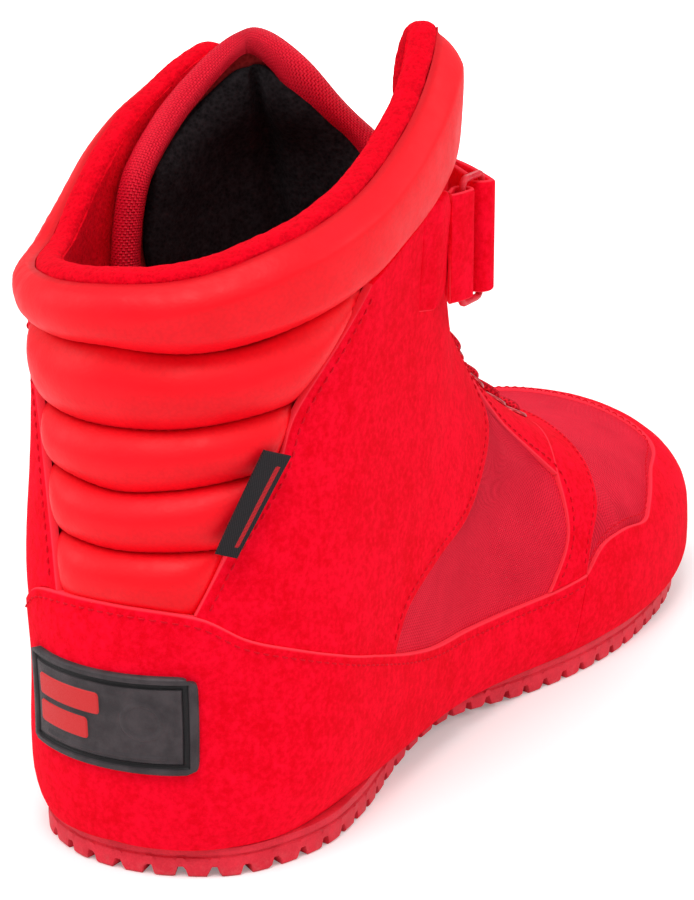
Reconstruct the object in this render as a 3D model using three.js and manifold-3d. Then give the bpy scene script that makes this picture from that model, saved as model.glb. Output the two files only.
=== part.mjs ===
// A padded high-top boxing boot for the right foot, laced up the front with a strap round the ankle.
// Millimetres, +Z up, +Y towards the toe, +X towards the outer side of the foot.
// The origin lies on the ground under the middle of the heel.
import * as THREE from "three";
import { mergeVertices } from "three/addons/utils/BufferGeometryUtils.js";
import Module from "manifold-3d";

const wasm = await Module();
wasm.setup();

// ---------------------------------------------------------------- driving sizes
const HEEL_SETBACK = 42; // from the back of the heel to the origin; y is given from the back of the heel
const SEAM_GAP = 0.45; // how far each panel stops short of the seam line it shares with its neighbour
const FLOOR_GAP = 0.5; // upper parts end this far above the sole

// Sole unit
const SOLE_EDGE_HEIGHT = 8;
const SOLE_WALL = 6;
const CUP_DEPTH = 3.2;
const LUG_HEIGHT = 2.6;
const LUG_PITCH = 8.5;
const LUG_LENGTH = 5.4;
const ARCH_RISE = 3.4;
const ARCH_CENTRE = 120;
const ARCH_REACH = 45;
const SPRING_START = 215;
const SPRING_RISE = 11.4;
const SPRING_REACH = 85;
const BOARD_THICKNESS = 2;
const SOCKLINER_THICKNESS = 4;
const SOLE_ROWS = 20;

// Layers of the upper, as depths under the outer surface
const SKIN = [-1.8, 0];
const MESH = [-1.8, -0.3];
const PROUD_SKIN = [-1.8, 0.4];
const MIDDLE = [-4.2, -2.9];
const LINING = [-7.4, -5.6];
const COLLAR_EXTRA = 3.4; // the padded collar pushes the lining this much further in
const LINING_REACH = 9; // from the outer surface to the room left for the board and sockliner

// Padding
const PUFF_BULGE = 1.9;
const COLLAR_BULGE = 2.4;
const PAD_EDGE = -0.3; // a stuffed panel meets its seams at this depth

// Tongue, as depths under the outer surface
const TONGUE_DEPTH = 8.4;
const TONGUE_LEAN = 11;
const TONGUE_EDGE = 4.3; // the layers stop this far inside the bound edge
const TONGUE_BINDING_RADIUS = 2.1;
const TONGUE_BINDING_DEPTH = 3;

// Lacing
const EYELET_PAIRS = 5;
const EYELET_EDGE = 6.5;
const EYELET_HOLE = 3;
const EYELET_INNER = 2.3;
const EYELET_OUTER = 4.2;
const LACE_RADIUS = 1.05;
const LACE_OVER = 2.9;
const LACE_UNDER = -3.7;

// Ankle strap
const STRAP_LOW = 131;
const STRAP_HIGH = 162;
const STRAP_THICKNESS = 1.8;
const RING_WIRE = 1.1;
const RING_CORNER = 1.6;
const KEEPER_PIN = [45, 105];
const STRAP_PIN = [45, 116];
const PIN_FOLD = 2.5; // from a pin to the middle of the band folded round it

// ---------------------------------------------------------------- the shape of the foot
// Cross-sections of the outer surface, fanned from the toe to the top of the collar. Each has its front or
// top point and its back or bottom point in the side view, half widths on the outer and inner side, the
// share of the height where it is widest, the squareness of its lower and upper half, and its middle x.
const SECTIONS = [
  { top: [302.5, 20.6], low: [302.5, 20.5], outer: 8, inner: 8, wide: 0.5, below: 2.2, above: 2, mid: -12 },
  { top: [299, 38], low: [301, 8], outer: 27, inner: 26, wide: 0.45, below: 3, above: 2, mid: -11 },
  { top: [287, 49], low: [291, 4], outer: 42, inner: 40, wide: 0.42, below: 4.5, above: 2.1, mid: -9 },
  { top: [268, 56], low: [271, 3], outer: 50, inner: 48, wide: 0.4, below: 5.5, above: 2.2, mid: -6 },
  { top: [242, 60], low: [244, 3], outer: 54, inner: 51, wide: 0.38, below: 6, above: 2.2, mid: -3 },
  { top: [214, 66], low: [214, 3], outer: 54, inner: 51, wide: 0.37, below: 6, above: 2.2, mid: -1 },
  { top: [190, 77], low: [182, 3], outer: 50, inner: 47, wide: 0.36, below: 6, above: 2.2, mid: 0 },
  { top: [171, 90], low: [148, 3], outer: 43, inner: 43, wide: 0.36, below: 5.5, above: 2.3, mid: 0 },
  { top: [158, 102], low: [110, 3], outer: 40, inner: 40, wide: 0.37, below: 5, above: 2.5, mid: 0 },
  { top: [149, 111], low: [68, 3], outer: 41.5, inner: 41.5, wide: 0.38, below: 5, above: 2.7, mid: 0 },
  { top: [143, 118], low: [32, 3], outer: 43, inner: 43, wide: 0.39, below: 4.5, above: 2.8, mid: 0 },
  { top: [139, 124], low: [10, 4], outer: 43.5, inner: 43.5, wide: 0.4, below: 2.9, above: 2.8, mid: 0 },
  { top: [137, 130], low: [2.5, 12], outer: 44, inner: 44, wide: 0.41, below: 2.3, above: 2.8, mid: 0 },
  { top: [135, 136], low: [1, 36], outer: 44, inner: 44.5, wide: 0.42, below: 2.1, above: 2.8, mid: 0 },
  { top: [133, 142], low: [0, 60], outer: 44, inner: 46, wide: 0.43, below: 2.05, above: 2.8, mid: 0 },
  { top: [131, 150], low: [2, 86], outer: 44.5, inner: 46, wide: 0.44, below: 2, above: 2.8, mid: 0 },
  { top: [129, 160], low: [4, 108], outer: 45, inner: 46, wide: 0.45, below: 2, above: 2.8, mid: 0 },
  { top: [127, 174], low: [4, 130], outer: 46.5, inner: 46.5, wide: 0.46, below: 2, above: 2.8, mid: 0 },
  { top: [124, 190], low: [0, 148], outer: 48, inner: 47, wide: 0.47, below: 2, above: 2.8, mid: 0 },
  { top: [122, 212], low: [-5, 166], outer: 50, inner: 48, wide: 0.48, below: 2, above: 2.8, mid: 0 },
].map((q) => [...q.top, ...q.low, q.outer, q.inner, q.wide, q.below, q.above, q.mid]);

const lerp = THREE.MathUtils.lerp;
const clamp = THREE.MathUtils.clamp;
const smooth = (low, high, v) => THREE.MathUtils.smoothstep(v, low, high);

const cubic = (a, b, c, d, t) =>
  0.5 * (2 * b + (c - a) * t + (2 * a - 5 * b + 4 * c - d) * t * t + (3 * b - a - 3 * c + d) * t * t * t);

function sectionAt(s) {
  const last = SECTIONS.length - 1;
  const u = clamp(s, 0, 1) * last;
  const i = Math.min(Math.floor(u), last - 1);
  const rows = [-1, 0, 1, 2].map((k) => SECTIONS[clamp(i + k, 0, last)]);
  return rows[0].map((_, k) => cubic(rows[0][k], rows[1][k], rows[2][k], rows[3][k], u - i));
}

// The outer surface: s runs from the toe (0) to the collar (1); angle runs from the front or top (0) over
// the outer side (a quarter turn) to the back or bottom (half a turn), and on along the inner side.
function surface(s, angle) {
  const [ty, tz, by, bz, outer, inner, wide, below, above, mid] = sectionAt(s);
  const c = Math.cos(angle);
  const n = Math.sin(angle);
  const power = c > 0 ? above : below;
  const reach = Math.pow(Math.pow(Math.abs(c), power) + Math.pow(Math.abs(n), power), -1 / power);
  const share = wide + (c > 0 ? 1 - wide : wide) * c * reach;
  const x = mid + (n > 0 ? outer : inner) * n * reach;
  return new THREE.Vector3(x, by + share * (ty - by), bz + share * (tz - bz));
}

function outward(s, angle) {
  const h = 1e-3;
  const low = clamp(s, 0.002, 0.998);
  const alongS = surface(low + h, angle).sub(surface(low - h, angle));
  const alongA = surface(low, angle + h).sub(surface(low, angle - h));
  return alongA.cross(alongS).normalize().negate();
}

const lifted = ([s, angle], depth) => surface(s, angle).addScaledVector(outward(s, angle), depth);

// The place on the surface nearest to a point, as [s, angle] with the inner side at negative angles. The
// search starts near a given place, or from a coarse grid.
const GRID_ROWS = 60;
const GRID_TURN = Math.PI / 36;
const COMPASS = [[1, 0], [-1, 0], [0, 1], [0, -1], [1, 1], [-1, -1], [1, -1], [-1, 1]];
function on([x, y, z], near) {
  const goal = new THREE.Vector3(x, y, z);
  const miss = (s, a) => surface(s, a).distanceToSquared(goal);
  let best = near ?? [0.5, 0];
  let least = near ? miss(...near) : Infinity;
  if (!near)
    for (let i = 0; i <= GRID_ROWS; i++)
      for (let j = -36; j < 36; j++) {
        const d = miss(i / GRID_ROWS, j * GRID_TURN);
        if (d < least) [least, best] = [d, [i / GRID_ROWS, j * GRID_TURN]];
      }
  for (let step = near ? 1 : 0.5; step > 1e-4; step *= 0.7)
    for (const [ds, da] of COMPASS) {
      const s = clamp(best[0] + (ds * step) / GRID_ROWS, 0, 1);
      const a = best[1] + da * step * GRID_TURN;
      const d = miss(s, a);
      if (d < least) [least, best] = [d, [s, a]];
    }
  return [best[0], Math.atan2(Math.sin(best[1]), Math.cos(best[1]))];
}

// ---------------------------------------------------------------- curves on the surface
const mirrored = (points) => points.map(([x, y, z]) => [-x, y, z]);
const behind = ([s, a]) => [s, a < -0.001 ? a + 2 * Math.PI : a]; // angles that run through the back
const bothSides = (points, middle = []) => [...points, ...middle, ...mirrored(points).reverse()];

function resample(places, count) {
  const spots = places.map(([s, a]) => surface(s, a));
  const run = [0];
  for (let i = 1; i < spots.length; i++) run.push(run[i - 1] + spots[i].distanceTo(spots[i - 1]));
  const out = [];
  for (let k = 0, i = 1; k <= count; k++) {
    const goal = (run.at(-1) * k) / count;
    while (i < run.length - 1 && run[i] < goal) i++;
    const t = (goal - run[i - 1]) / (run[i] - run[i - 1] || 1);
    out.push([lerp(places[i - 1][0], places[i][0], t), lerp(places[i - 1][1], places[i][1], t)]);
  }
  return out;
}

// A smooth curve through places or points.
function through(list, fine = 12) {
  const at = (i) => list[clamp(i, 0, list.length - 1)];
  const between = (i, t) => {
    const four = [-1, 0, 1, 2].map((k) => at(i + k));
    return list[0].map((_, c) => cubic(...four.map((q) => q[c]), t));
  };
  const out = [];
  for (let i = 0; i < list.length - 1; i++) for (let k = 0; k < fine; k++) out.push(between(i, k / fine));
  return [...out, list.at(-1)];
}
const LINE_STEPS = 5;
const straight = (points) => points.map((p) => on(p));
function alongSide(points) {
  const out = [];
  for (const p of through(points, LINE_STEPS)) out.push(on(p, out.at(-1)));
  return out;
}
const roundBack = (points) => alongSide(points).map(behind);
const otherSide = (places) => places.map(([s, a]) => [s, -a]);

// ---------------------------------------------------------------- the ground line of the upper
const spring = (y) => SPRING_RISE * Math.max(0, (y - SPRING_START) / SPRING_REACH) ** 2;
const arch = (y) => ARCH_RISE * Math.cos((Math.PI / 2) * clamp((y - ARCH_CENTRE) / ARCH_REACH, -1, 1)) ** 2;
const soleBottom = (y) => spring(y) + arch(y);
const soleTop = (y) => SOLE_EDGE_HEIGHT + spring(y) + arch(y) * 0.6;

function floorAngle(s) {
  let [high, low] = [0.02, Math.PI];
  const above = (a) => surface(s, a).z > soleTop(surface(s, a).y) + FLOOR_GAP;
  if (above(low)) return Math.PI;
  for (let i = 0; i < 30; i++) {
    const a = (high + low) / 2;
    if (above(a)) high = a;
    else low = a;
  }
  return high;
}
const sectionAtY = (y) => {
  let [near, far] = [0.62, 0];
  for (let i = 0; i < 30; i++) {
    const s = (near + far) / 2;
    if (surface(s, floorAngle(s)).y < y) near = s;
    else far = s;
  }
  return near;
};
const heelSection = (() => {
  let [toeward, heelward] = [0.4, 0.7];
  for (let i = 0; i < 30; i++) {
    const s = (toeward + heelward) / 2;
    if (surface(s, Math.PI).z > soleTop(surface(s, Math.PI).y) + FLOOR_GAP) heelward = s;
    else toeward = s;
  }
  return heelward;
})();

// The ground line of the outer side from one y to another; the toe tip and the heel end are its limits.
function groundLine(fromS, toS, count = 60) {
  const out = [];
  for (let i = 0; i <= count; i++) {
    const s = lerp(fromS, toS, i / count);
    out.push([s, s <= 0 ? Math.PI / 2 : s >= heelSection ? Math.PI : floorAngle(s)]);
  }
  return out;
}
const aroundToe = (y) => {
  const side = groundLine(sectionAtY(y), 0);
  const nose = [0.75, 0.5, 0.25, 0, -0.25, -0.5, -0.75].map((k) => [0, (k * Math.PI) / 2]);
  return [...side, ...nose, ...otherSide(side).reverse()];
};
const aroundHeel = (y) => {
  const side = groundLine(sectionAtY(y), heelSection);
  return [...side, ...otherSide(side).reverse().map(([s, a]) => [s, a + 2 * Math.PI])];
};

// ---------------------------------------------------------------- building solids
const bodies = [];
function add(name, geometry, { colour, roughness, metalness = 0 }) {
  const material = new THREE.MeshStandardMaterial({ color: colour, roughness, metalness });
  const mesh = new THREE.Mesh(geometry, material);
  mesh.name = name;
  mesh.position.y = -HEEL_SETBACK;
  bodies.push(mesh);
}

function indexed(positions, triangles) {
  const geometry = new THREE.BufferGeometry();
  geometry.setAttribute("position", new THREE.Float32BufferAttribute(positions, 3));
  geometry.setIndex(triangles);
  return geometry;
}

// A closed solid between two grids of points of the same size, upper and lower.
function slab(upper, lower) {
  const rows = upper.length;
  const cols = upper[0].length;
  const positions = [...upper.flat(), ...lower.flat()].flatMap((p) => [p.x, p.y, p.z]);
  const at = (layer, i, j) => layer * rows * cols + i * cols + j;
  const triangles = [];
  const quad = (a, b, c, d) => triangles.push(a, b, c, a, c, d);
  for (let i = 0; i < rows - 1; i++)
    for (let j = 0; j < cols - 1; j++) {
      quad(at(0, i, j), at(0, i + 1, j), at(0, i + 1, j + 1), at(0, i, j + 1));
      quad(at(1, i, j), at(1, i, j + 1), at(1, i + 1, j + 1), at(1, i + 1, j));
    }
  for (let i = 0; i < rows - 1; i++) {
    quad(at(0, i, 0), at(1, i, 0), at(1, i + 1, 0), at(0, i + 1, 0));
    quad(at(0, i, cols - 1), at(0, i + 1, cols - 1), at(1, i + 1, cols - 1), at(1, i, cols - 1));
  }
  for (let j = 0; j < cols - 1; j++) {
    quad(at(0, 0, j), at(0, 0, j + 1), at(1, 0, j + 1), at(1, 0, j));
    quad(at(0, rows - 1, j), at(1, rows - 1, j), at(1, rows - 1, j + 1), at(0, rows - 1, j + 1));
  }
  return facingOut(indexed(positions, triangles));
}

function facingOut(geometry) {
  const p = geometry.attributes.position;
  const t = geometry.index.array;
  const [a, b, c] = [new THREE.Vector3(), new THREE.Vector3(), new THREE.Vector3()];
  let volume = 0;
  for (let i = 0; i < t.length; i += 3) {
    a.fromBufferAttribute(p, t[i]);
    b.fromBufferAttribute(p, t[i + 1]);
    c.fromBufferAttribute(p, t[i + 2]);
    volume += a.dot(b.cross(c));
  }
  if (volume < 0) for (let i = 0; i < t.length; i += 3) [t[i + 1], t[i + 2]] = [t[i + 2], t[i + 1]];
  return geometry;
}

// A curve moved a little so that it starts and ends exactly at two places.
function pinned(curve, from, to) {
  const [first, last] = [curve[0], curve.at(-1)];
  const shift = (c, t) => (1 - t) * (from[c] - first[c]) + t * (to[c] - last[c]);
  return curve.map((place, i) => place.map((value, c) => value + shift(c, i / (curve.length - 1))));
}

// A layer of the upper bounded by four curves on the surface. bottom and top run the same way; left and
// right join their starts and their ends. depth is [inner, outer], numbers or functions of (u, v, s, a).
function panel({ bottom, top, left, right, across, up, depth, inset = SEAM_GAP }) {
  const fineU = 4 * across;
  const fineV = 4 * up;
  const low = resample(bottom, fineU);
  const high = resample(top, fineU);
  const start = pinned(resample(left ?? [low[0], high[0]], fineV), low[0], high[0]);
  const end = pinned(resample(right ?? [low.at(-1), high.at(-1)], fineV), low.at(-1), high.at(-1));
  const pick = (curve, t) => {
    const u = clamp(t, 0, 1) * (curve.length - 1);
    const i = Math.min(Math.floor(u), curve.length - 2);
    return [0, 1].map((c) => lerp(curve[i][c], curve[i + 1][c], u - i));
  };
  const length = (curve) =>
    curve.slice(1).reduce((sum, q, i) => sum + surface(...q).distanceTo(surface(...curve[i])), 0);
  const shrinkU = inset / Math.min(length(low), length(high));
  const shrinkV = inset / Math.max(8, Math.min(length(start), length(end)));
  const place = (u, v) => {
    const [l, h, a, b] = [pick(low, u), pick(high, u), pick(start, v), pick(end, v)];
    return [0, 1].map((c) => {
      const lowCorners = lerp(low[0][c], low.at(-1)[c], u);
      const highCorners = lerp(high[0][c], high.at(-1)[c], u);
      return lerp(l[c], h[c], v) + lerp(a[c], b[c], u) - lerp(lowCorners, highCorners, v);
    });
  };
  const value = (d, u, v, [s, a]) => (typeof d === "function" ? d(u, v, s, a) : d);
  const layer = (d) =>
    Array.from({ length: up + 1 }, (_, i) =>
      Array.from({ length: across + 1 }, (_, j) => {
        const u = j / across;
        const v = i / up;
        const spot = place(lerp(shrinkU, 1 - shrinkU, u), lerp(shrinkV, 1 - shrinkV, v));
        const p = lifted(spot, value(d, u, v, spot));
        p.z = Math.max(p.z, soleTop(p.y) + FLOOR_GAP);
        return p;
      }),
    );
  return slab(layer(depth[1]), layer(depth[0]));
}

const collarExtra = (s) => COLLAR_EXTRA * smooth(0.84, 0.95, s);
const dome = (t, power = 0.5) => Math.pow(Math.max(0, Math.sin(Math.PI * t)), power);

function bare(geometry) {
  const copy = geometry.clone();
  copy.deleteAttribute("normal");
  copy.deleteAttribute("uv");
  return copy;
}
function toManifold(geometry) {
  const merged = mergeVertices(bare(geometry), 1e-4);
  return new wasm.Manifold(
    new wasm.Mesh({
      numProp: 3,
      vertProperties: new Float32Array(merged.attributes.position.array),
      triVerts: new Uint32Array(merged.index.array),
    }),
  );
}
function fromManifold(solid) {
  const mesh = solid.getMesh();
  return indexed([...mesh.vertProperties], [...mesh.triVerts]);
}
const cut = (geometry, cutters) =>
  fromManifold(cutters.reduce((solid, c) => solid.subtract(toManifold(c)), toManifold(geometry)));
const join = (geometries) =>
  fromManifold(geometries.slice(1).reduce((solid, g) => solid.add(toManifold(g)), toManifold(geometries[0])));

// An object turned so that its own +Y points along a direction, at a place.
function aimed(geometry, spot, direction) {
  const turn = new THREE.Quaternion().setFromUnitVectors(new THREE.Vector3(0, 1, 0), direction);
  return geometry.clone().applyQuaternion(turn).translate(spot.x, spot.y, spot.z);
}

// A cord of round section along a list of points.
function cord(points, radius, steps, sides = 6, tension = 0.5) {
  const shape = new THREE.Shape();
  for (let i = 0; i < sides; i++) {
    const a = (2 * Math.PI * i) / sides;
    const spot = [radius * Math.cos(a), radius * Math.sin(a)];
    if (i) shape.lineTo(...spot);
    else shape.moveTo(...spot);
  }
  shape.closePath();
  const extrudePath = new THREE.CatmullRomCurve3(points, false, "catmullrom", tension);
  return new THREE.ExtrudeGeometry(shape, { steps, extrudePath, bevelEnabled: false, curveSegments: 1 });
}

// An upright band of even thickness that follows a plan-view line.
function ribbon(plan, thickness, low, high, steps) {
  const line = new THREE.SplineCurve(plan.map(([x, y]) => new THREE.Vector2(x, y)));
  const spots = line.getSpacedPoints(steps);
  const offset = (i, d) => {
    const t = line.getTangentAt(i / steps);
    return new THREE.Vector2(spots[i].x - t.y * d, spots[i].y + t.x * d);
  };
  const left = spots.map((_, i) => offset(i, thickness / 2));
  const right = spots.map((_, i) => offset(i, -thickness / 2));
  const shape = new THREE.Shape([...left, ...right.reverse()]);
  return new THREE.ExtrudeGeometry(shape, { depth: high - low, bevelEnabled: false }).translate(0, 0, low);
}

// ---------------------------------------------------------------- finishes
const SUEDE = { colour: 0xf00a28, roughness: 0.9 };
const PADDED = { colour: 0xff3038, roughness: 0.5 };
const NET = { colour: 0xd22840, roughness: 0.85 };
const SOLE_RUBBER = { colour: 0xc83248, roughness: 0.6 };
const FLEECE = { colour: 0xe00020, roughness: 1 };
const BLACK_FLEECE = { colour: 0x1c1a1c, roughness: 1 };
const GREY_RUBBER = { colour: 0x4c484c, roughness: 0.7 };
const TAG_WEAVE = { colour: 0x2a282c, roughness: 0.9 };
const FOAM = { colour: 0xd9cfa8, roughness: 1 };
const STIFF_BOARD = { colour: 0xb59f7a, roughness: 0.95 };
const EVA = { colour: 0xc04050, roughness: 0.9 };
const WOVEN = { colour: 0xc81e36, roughness: 0.8 };
const RED_LACQUER = { colour: 0xbe1022, roughness: 0.35, metalness: 0.5 };

// ---------------------------------------------------------------- seam lines of the outer side
const TOE_CORNER = [49, 181, 31.5];
const THROAT = [9, 206, 66];
const FOXING_SIDE = [
  TOE_CORNER, [46, 164, 30], [41.6, 139, 31.2], [40, 120, 33], [40, 100, 35.5], [41, 80, 40.6],
  [43, 48, 51.7], [39, 29, 58.8], [32, 16, 64.4], [22.5, 7.4, 71.5],
];
const FOXING_BACK = [0, 1, 73.8];
const REAR_SEAM = [
  [22.5, 7.4, 71.5], [28.5, 14, 87], [35.5, 25, 105.5], [38.7, 31, 121], [46, 53, 147],
];
const QUARTER_FRONT = [
  [41, 72, 43], [41.5, 80, 54], [39, 99, 61.5], [37, 117, 65.6], [34, 133, 74], [28, 148, 84],
  [25.5, 147, 96], [24.5, 138, 112], [25, 132, 128],
];
const COLLAR_OPENING = [[25.5, 128, 146], [26.5, 125, 160], [28, 122, 173]];
const OPENING_EDGE = [
  THROAT, [10.5, 192, 75], [12, 172, 90], [13, 157, 103], [13.5, 148, 113], [15, 141, 128],
];
const RIM_SIDE = [
  [0, -2.5, 152], [24, 7, 155], [38, 20, 160], [45, 38, 166], [48, 58, 174], [47.5, 76, 184],
  [43, 90, 195], [35, 99, 203],
];
const COLLAR_SEAM_SIDE = [
  [46, 53, 147], [46.5, 63, 151], [46, 80, 157], [43, 98, 164], [37, 112, 169], [28, 122, 173],
];
const COLLAR_END = [[28, 122, 173], [27.5, 120, 185], [30, 113, 197], [35, 99, 203]];

// The inner side is cut lower; its x are measured away from the middle too.
const REAR_SEAM_INNER = [
  [15.5, 4, 72.8], [19, 6.5, 87], [23.5, 11, 103], [28, 15.5, 117], [36, 24, 138],
];
const RIM_INNER = [
  [0, -2.5, 152], [24, 7, 150.5], [36, 20, 149], [43.5, 38, 149.5], [46, 47.5, 153.5], [47, 57, 160.5],
  [47, 67, 169], [46.3, 79, 176.5], [44.5, 91, 182], [41.5, 100.5, 187.5], [36, 110, 192],
];
const COLLAR_SEAM_INNER = [
  [36, 24, 138], [43, 40, 138], [45.5, 56, 140], [46.3, 72, 145], [45.5, 85, 151], [42, 99, 158],
  [36.5, 111, 163.5], [29, 121, 168],
];
const COLLAR_OPENING_INNER = [[25.5, 128, 146], [26.5, 125, 158], [29, 121, 168]];
const COLLAR_END_INNER = [[29, 121, 168], [28.5, 119.5, 178], [31, 115, 187.5], [36, 110, 192]];

const BAND_REAR = [[46, 164, 30], [46, 174, 44], [39, 178, 60], [34, 184, 66], [24, 194, 67], THROAT];
const BAND_FRONT = [
  TOE_CORNER, [48, 185, 41], [46, 192, 48], [40, 199, 56], [29.5, 208, 62], [14, 222, 62.5],
];
const CAP_EDGE = [
  TOE_CORNER, [49.5, 190, 38], [51, 204, 39], [52, 218, 37.5], [50, 226, 41], [44, 240, 45.6],
  [35, 261, 48],
];

const foxingTop = roundBack(bothSides(FOXING_SIDE, [FOXING_BACK]));

// ---------------------------------------------------------------- sole unit
// The outline of the ground contact, from the heel to the toe, outer and inner side.
const SOLE_OUTER = [
  [0, 4.2], [13.8, 6.9], [30.1, 17.1], [39.5, 39.3], [38.9, 62.4], [33.5, 91.6], [33, 121],
  [39.1, 148.8], [47.5, 178.9], [50.7, 204.3], [50.2, 224.7], [48.2, 245.3], [43.1, 262.9],
  [32.8, 278.8], [16.7, 291.5], [-5.5, 298.1],
];
const SOLE_INNER = [
  [0, 4.2], [-13.9, 6.6], [-29.5, 17.3], [-39, 39.6], [-38.8, 62.3], [-34, 91], [-34, 121], [-39, 149],
  [-46, 179], [-50, 205], [-52, 235], [-51, 255], [-48, 270], [-40, 284], [-27, 294], [-5.5, 298.1],
];
const outlineOf = (points) =>
  new THREE.SplineCurve(points.map(([x, y]) => new THREE.Vector2(x, y))).getPoints(160);

// Half outlines moved inwards by a distance, as x at a given y.
function insetOutline(points, distance) {
  const line = outlineOf(points);
  const side = Math.sign(points[3][0]);
  const moved = line.map((p, i) => {
    const t = line[Math.min(i + 1, line.length - 1)].clone().sub(line[Math.max(i - 1, 0)]).normalize();
    return new THREE.Vector2(p.x - side * t.y * distance, p.y + side * t.x * distance);
  });
  return (y) => {
    const i = moved.findIndex((p, k) => k > 0 && p.y >= y);
    if (i < 0) return moved.at(-1).x;
    const t = clamp((y - moved[i - 1].y) / (moved[i].y - moved[i - 1].y || 1), 0, 1);
    return lerp(moved[i - 1].x, moved[i].x, t);
  };
}

// A plate inside the sole outline between two heights that follow the length of the foot.
function plate(distance, bottomAt, topAt, from = 4.2, to = 298.1, rows = SOLE_ROWS, cols = 2) {
  const outer = insetOutline(SOLE_OUTER, distance);
  const inner = insetOutline(SOLE_INNER, distance);
  const start = Math.max(from, 4.2 + distance + 0.8);
  const finish = Math.min(to, 298.1 - distance - 0.8);
  const grid = (heightAt) =>
    Array.from({ length: rows + 1 }, (_, i) => {
      const y = lerp(start, finish, (1 - Math.cos((Math.PI * i) / rows)) / 2);
      return Array.from({ length: cols + 1 }, (_, j) => {
        const x = lerp(inner(y), outer(y), j / cols);
        return new THREE.Vector3(x, y, heightAt(y));
      });
    });
  return slab(grid(topAt), grid(bottomAt));
}

function outsole() {
  const body = plate(0, (y) => soleBottom(y) + LUG_HEIGHT, soleTop);
  const pocket = plate(SOLE_WALL, (y) => soleTop(y) - CUP_DEPTH, (y) => soleTop(y) + 5);
  const lugs = [];
  for (let centre = HEEL_SETBACK - 4 * LUG_PITCH; centre < 294; centre += LUG_PITCH) {
    const from = Math.max(centre - LUG_LENGTH / 2, 5.5);
    const to = centre + LUG_LENGTH / 2;
    const level = soleBottom(centre);
    lugs.push(lugBlock(from, to, level));
  }
  return cut(join([body, ...lugs]), [pocket]);
}
function lugBlock(from, to, level) {
  const outer = insetOutline(SOLE_OUTER, 0.5);
  const inner = insetOutline(SOLE_INNER, 0.5);
  const grid = (height) =>
    [from, to].map((y) => [inner(y), outer(y)].map((x) => new THREE.Vector3(x, y, height)));
  return slab(grid(level + LUG_HEIGHT + 1.2), grid(level));
}

add("outsole", outsole(), SOLE_RUBBER);
const fillerAt = (y) => soleTop(y) - CUP_DEPTH + 0.3;
add("midsole_filler", plate(SOLE_WALL + 0.6, fillerAt, (y) => soleTop(y) - 0.2), EVA);
const boardAt = (y) => soleTop(y) + 0.4;
add("insole_board", plate(LINING_REACH, boardAt, (y) => boardAt(y) + BOARD_THICKNESS), STIFF_BOARD);
const linerAt = (y) => boardAt(y) + BOARD_THICKNESS + 0.4;
add("sockliner", plate(LINING_REACH + 0.6, linerAt, (y) => linerAt(y) + SOCKLINER_THICKNESS), BLACK_FLEECE);

// ---------------------------------------------------------------- outer skins low on the boot
const CAP_START = 174; // where the toe cap meets the foxing at the ground line
add(
  "heel_foxing",
  panel({ bottom: aroundHeel(CAP_START), top: foxingTop, across: 30, up: 4, depth: PROUD_SKIN }),
  SUEDE,
);
const CAP_FRONT = [[12, 267, 54.5], [-12, 268, 56]];
const capTop = alongSide(bothSides(CAP_EDGE, CAP_FRONT));
add("toe_cap", panel({ bottom: aroundToe(CAP_START), top: capTop, across: 30, up: 4, depth: SKIN }), SUEDE);

const bandFront = alongSide(bothSides(BAND_FRONT, [[0, 229, 62]]));
const bandRear = alongSide(bothSides(BAND_REAR, [[0, 209, 66]]));
add("front_band", panel({ bottom: bandFront, top: bandRear, across: 20, up: 2, depth: PROUD_SKIN }), SUEDE);
const meshFront = alongSide(bothSides([[50.3, 194, 38.6], ...CAP_EDGE.slice(2)], CAP_FRONT));
const meshRear = alongSide(bothSides([[47.6, 187, 43], ...BAND_FRONT.slice(2)], [[0, 229, 62]]));
add("toe_mesh", panel({ bottom: meshFront, top: meshRear, across: 16, up: 4, depth: MESH, inset: 0.6 }), NET);

// ---------------------------------------------------------------- sides of the upper
function eyeletPlaces(sign) {
  const edge = resample(alongSide(OPENING_EDGE), EYELET_PAIRS * 2);
  return Array.from({ length: EYELET_PAIRS }, (_, k) => {
    const [s, a] = edge[2 * k + 1];
    const perRadian = surface(s, a + 0.01).distanceTo(surface(s, a)) / 0.01;
    return [s, sign * (a + EYELET_EDGE / perRadian)];
  });
}

// Curves on one side of the boot, from points with x measured away from the middle.
const onSide = (points, sign) => points.map(([x, y, z]) => [sign * x, y, z]);
const held = (places, sign) => places.map(([s, a]) => [s, sign * Math.abs(a)]);
const sideLine = (points, sign) => held(alongSide(onSide(points, sign)), sign);
const sideChord = (points, sign) => held(straight(onSide(points, sign)), sign);

function eyestay(sign) {
  const stay = panel({
    bottom: sideLine([[39, 178, 60], [34, 184, 66], [24, 194, 67], THROAT], sign),
    top: sideChord([[25, 132, 128], [15, 141, 128]], sign),
    left: sideLine([[39, 178, 60], [33, 169, 70], [28, 158, 80], ...QUARTER_FRONT.slice(6)], sign),
    right: sideLine(OPENING_EDGE, sign),
    across: 3,
    up: 9,
    depth: PROUD_SKIN,
  });
  const punch = new THREE.CylinderGeometry(EYELET_HOLE, EYELET_HOLE, 8, 8);
  const holes = eyeletPlaces(sign).map((place) => aimed(punch, lifted(place, 0), outward(...place)));
  return cut(stay, holes);
}

function meshPanel(sign) {
  const ground = [[41, 73, 42.5], [40, 100, 35.5], [40, 120, 33], [41.6, 139, 31.2], [46, 163, 30]];
  return panel({
    bottom: sideLine(ground, sign),
    top: sideChord([[27.5, 149, 86], [27.5, 156, 82]], sign),
    left: sideLine(QUARTER_FRONT.slice(0, 6), sign),
    right: sideLine([[46, 163, 30], [46, 174, 44], [39, 178, 60], [33, 169, 70], [27.5, 157, 82]], sign),
    across: 7,
    up: 6,
    depth: MESH,
  });
}

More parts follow.
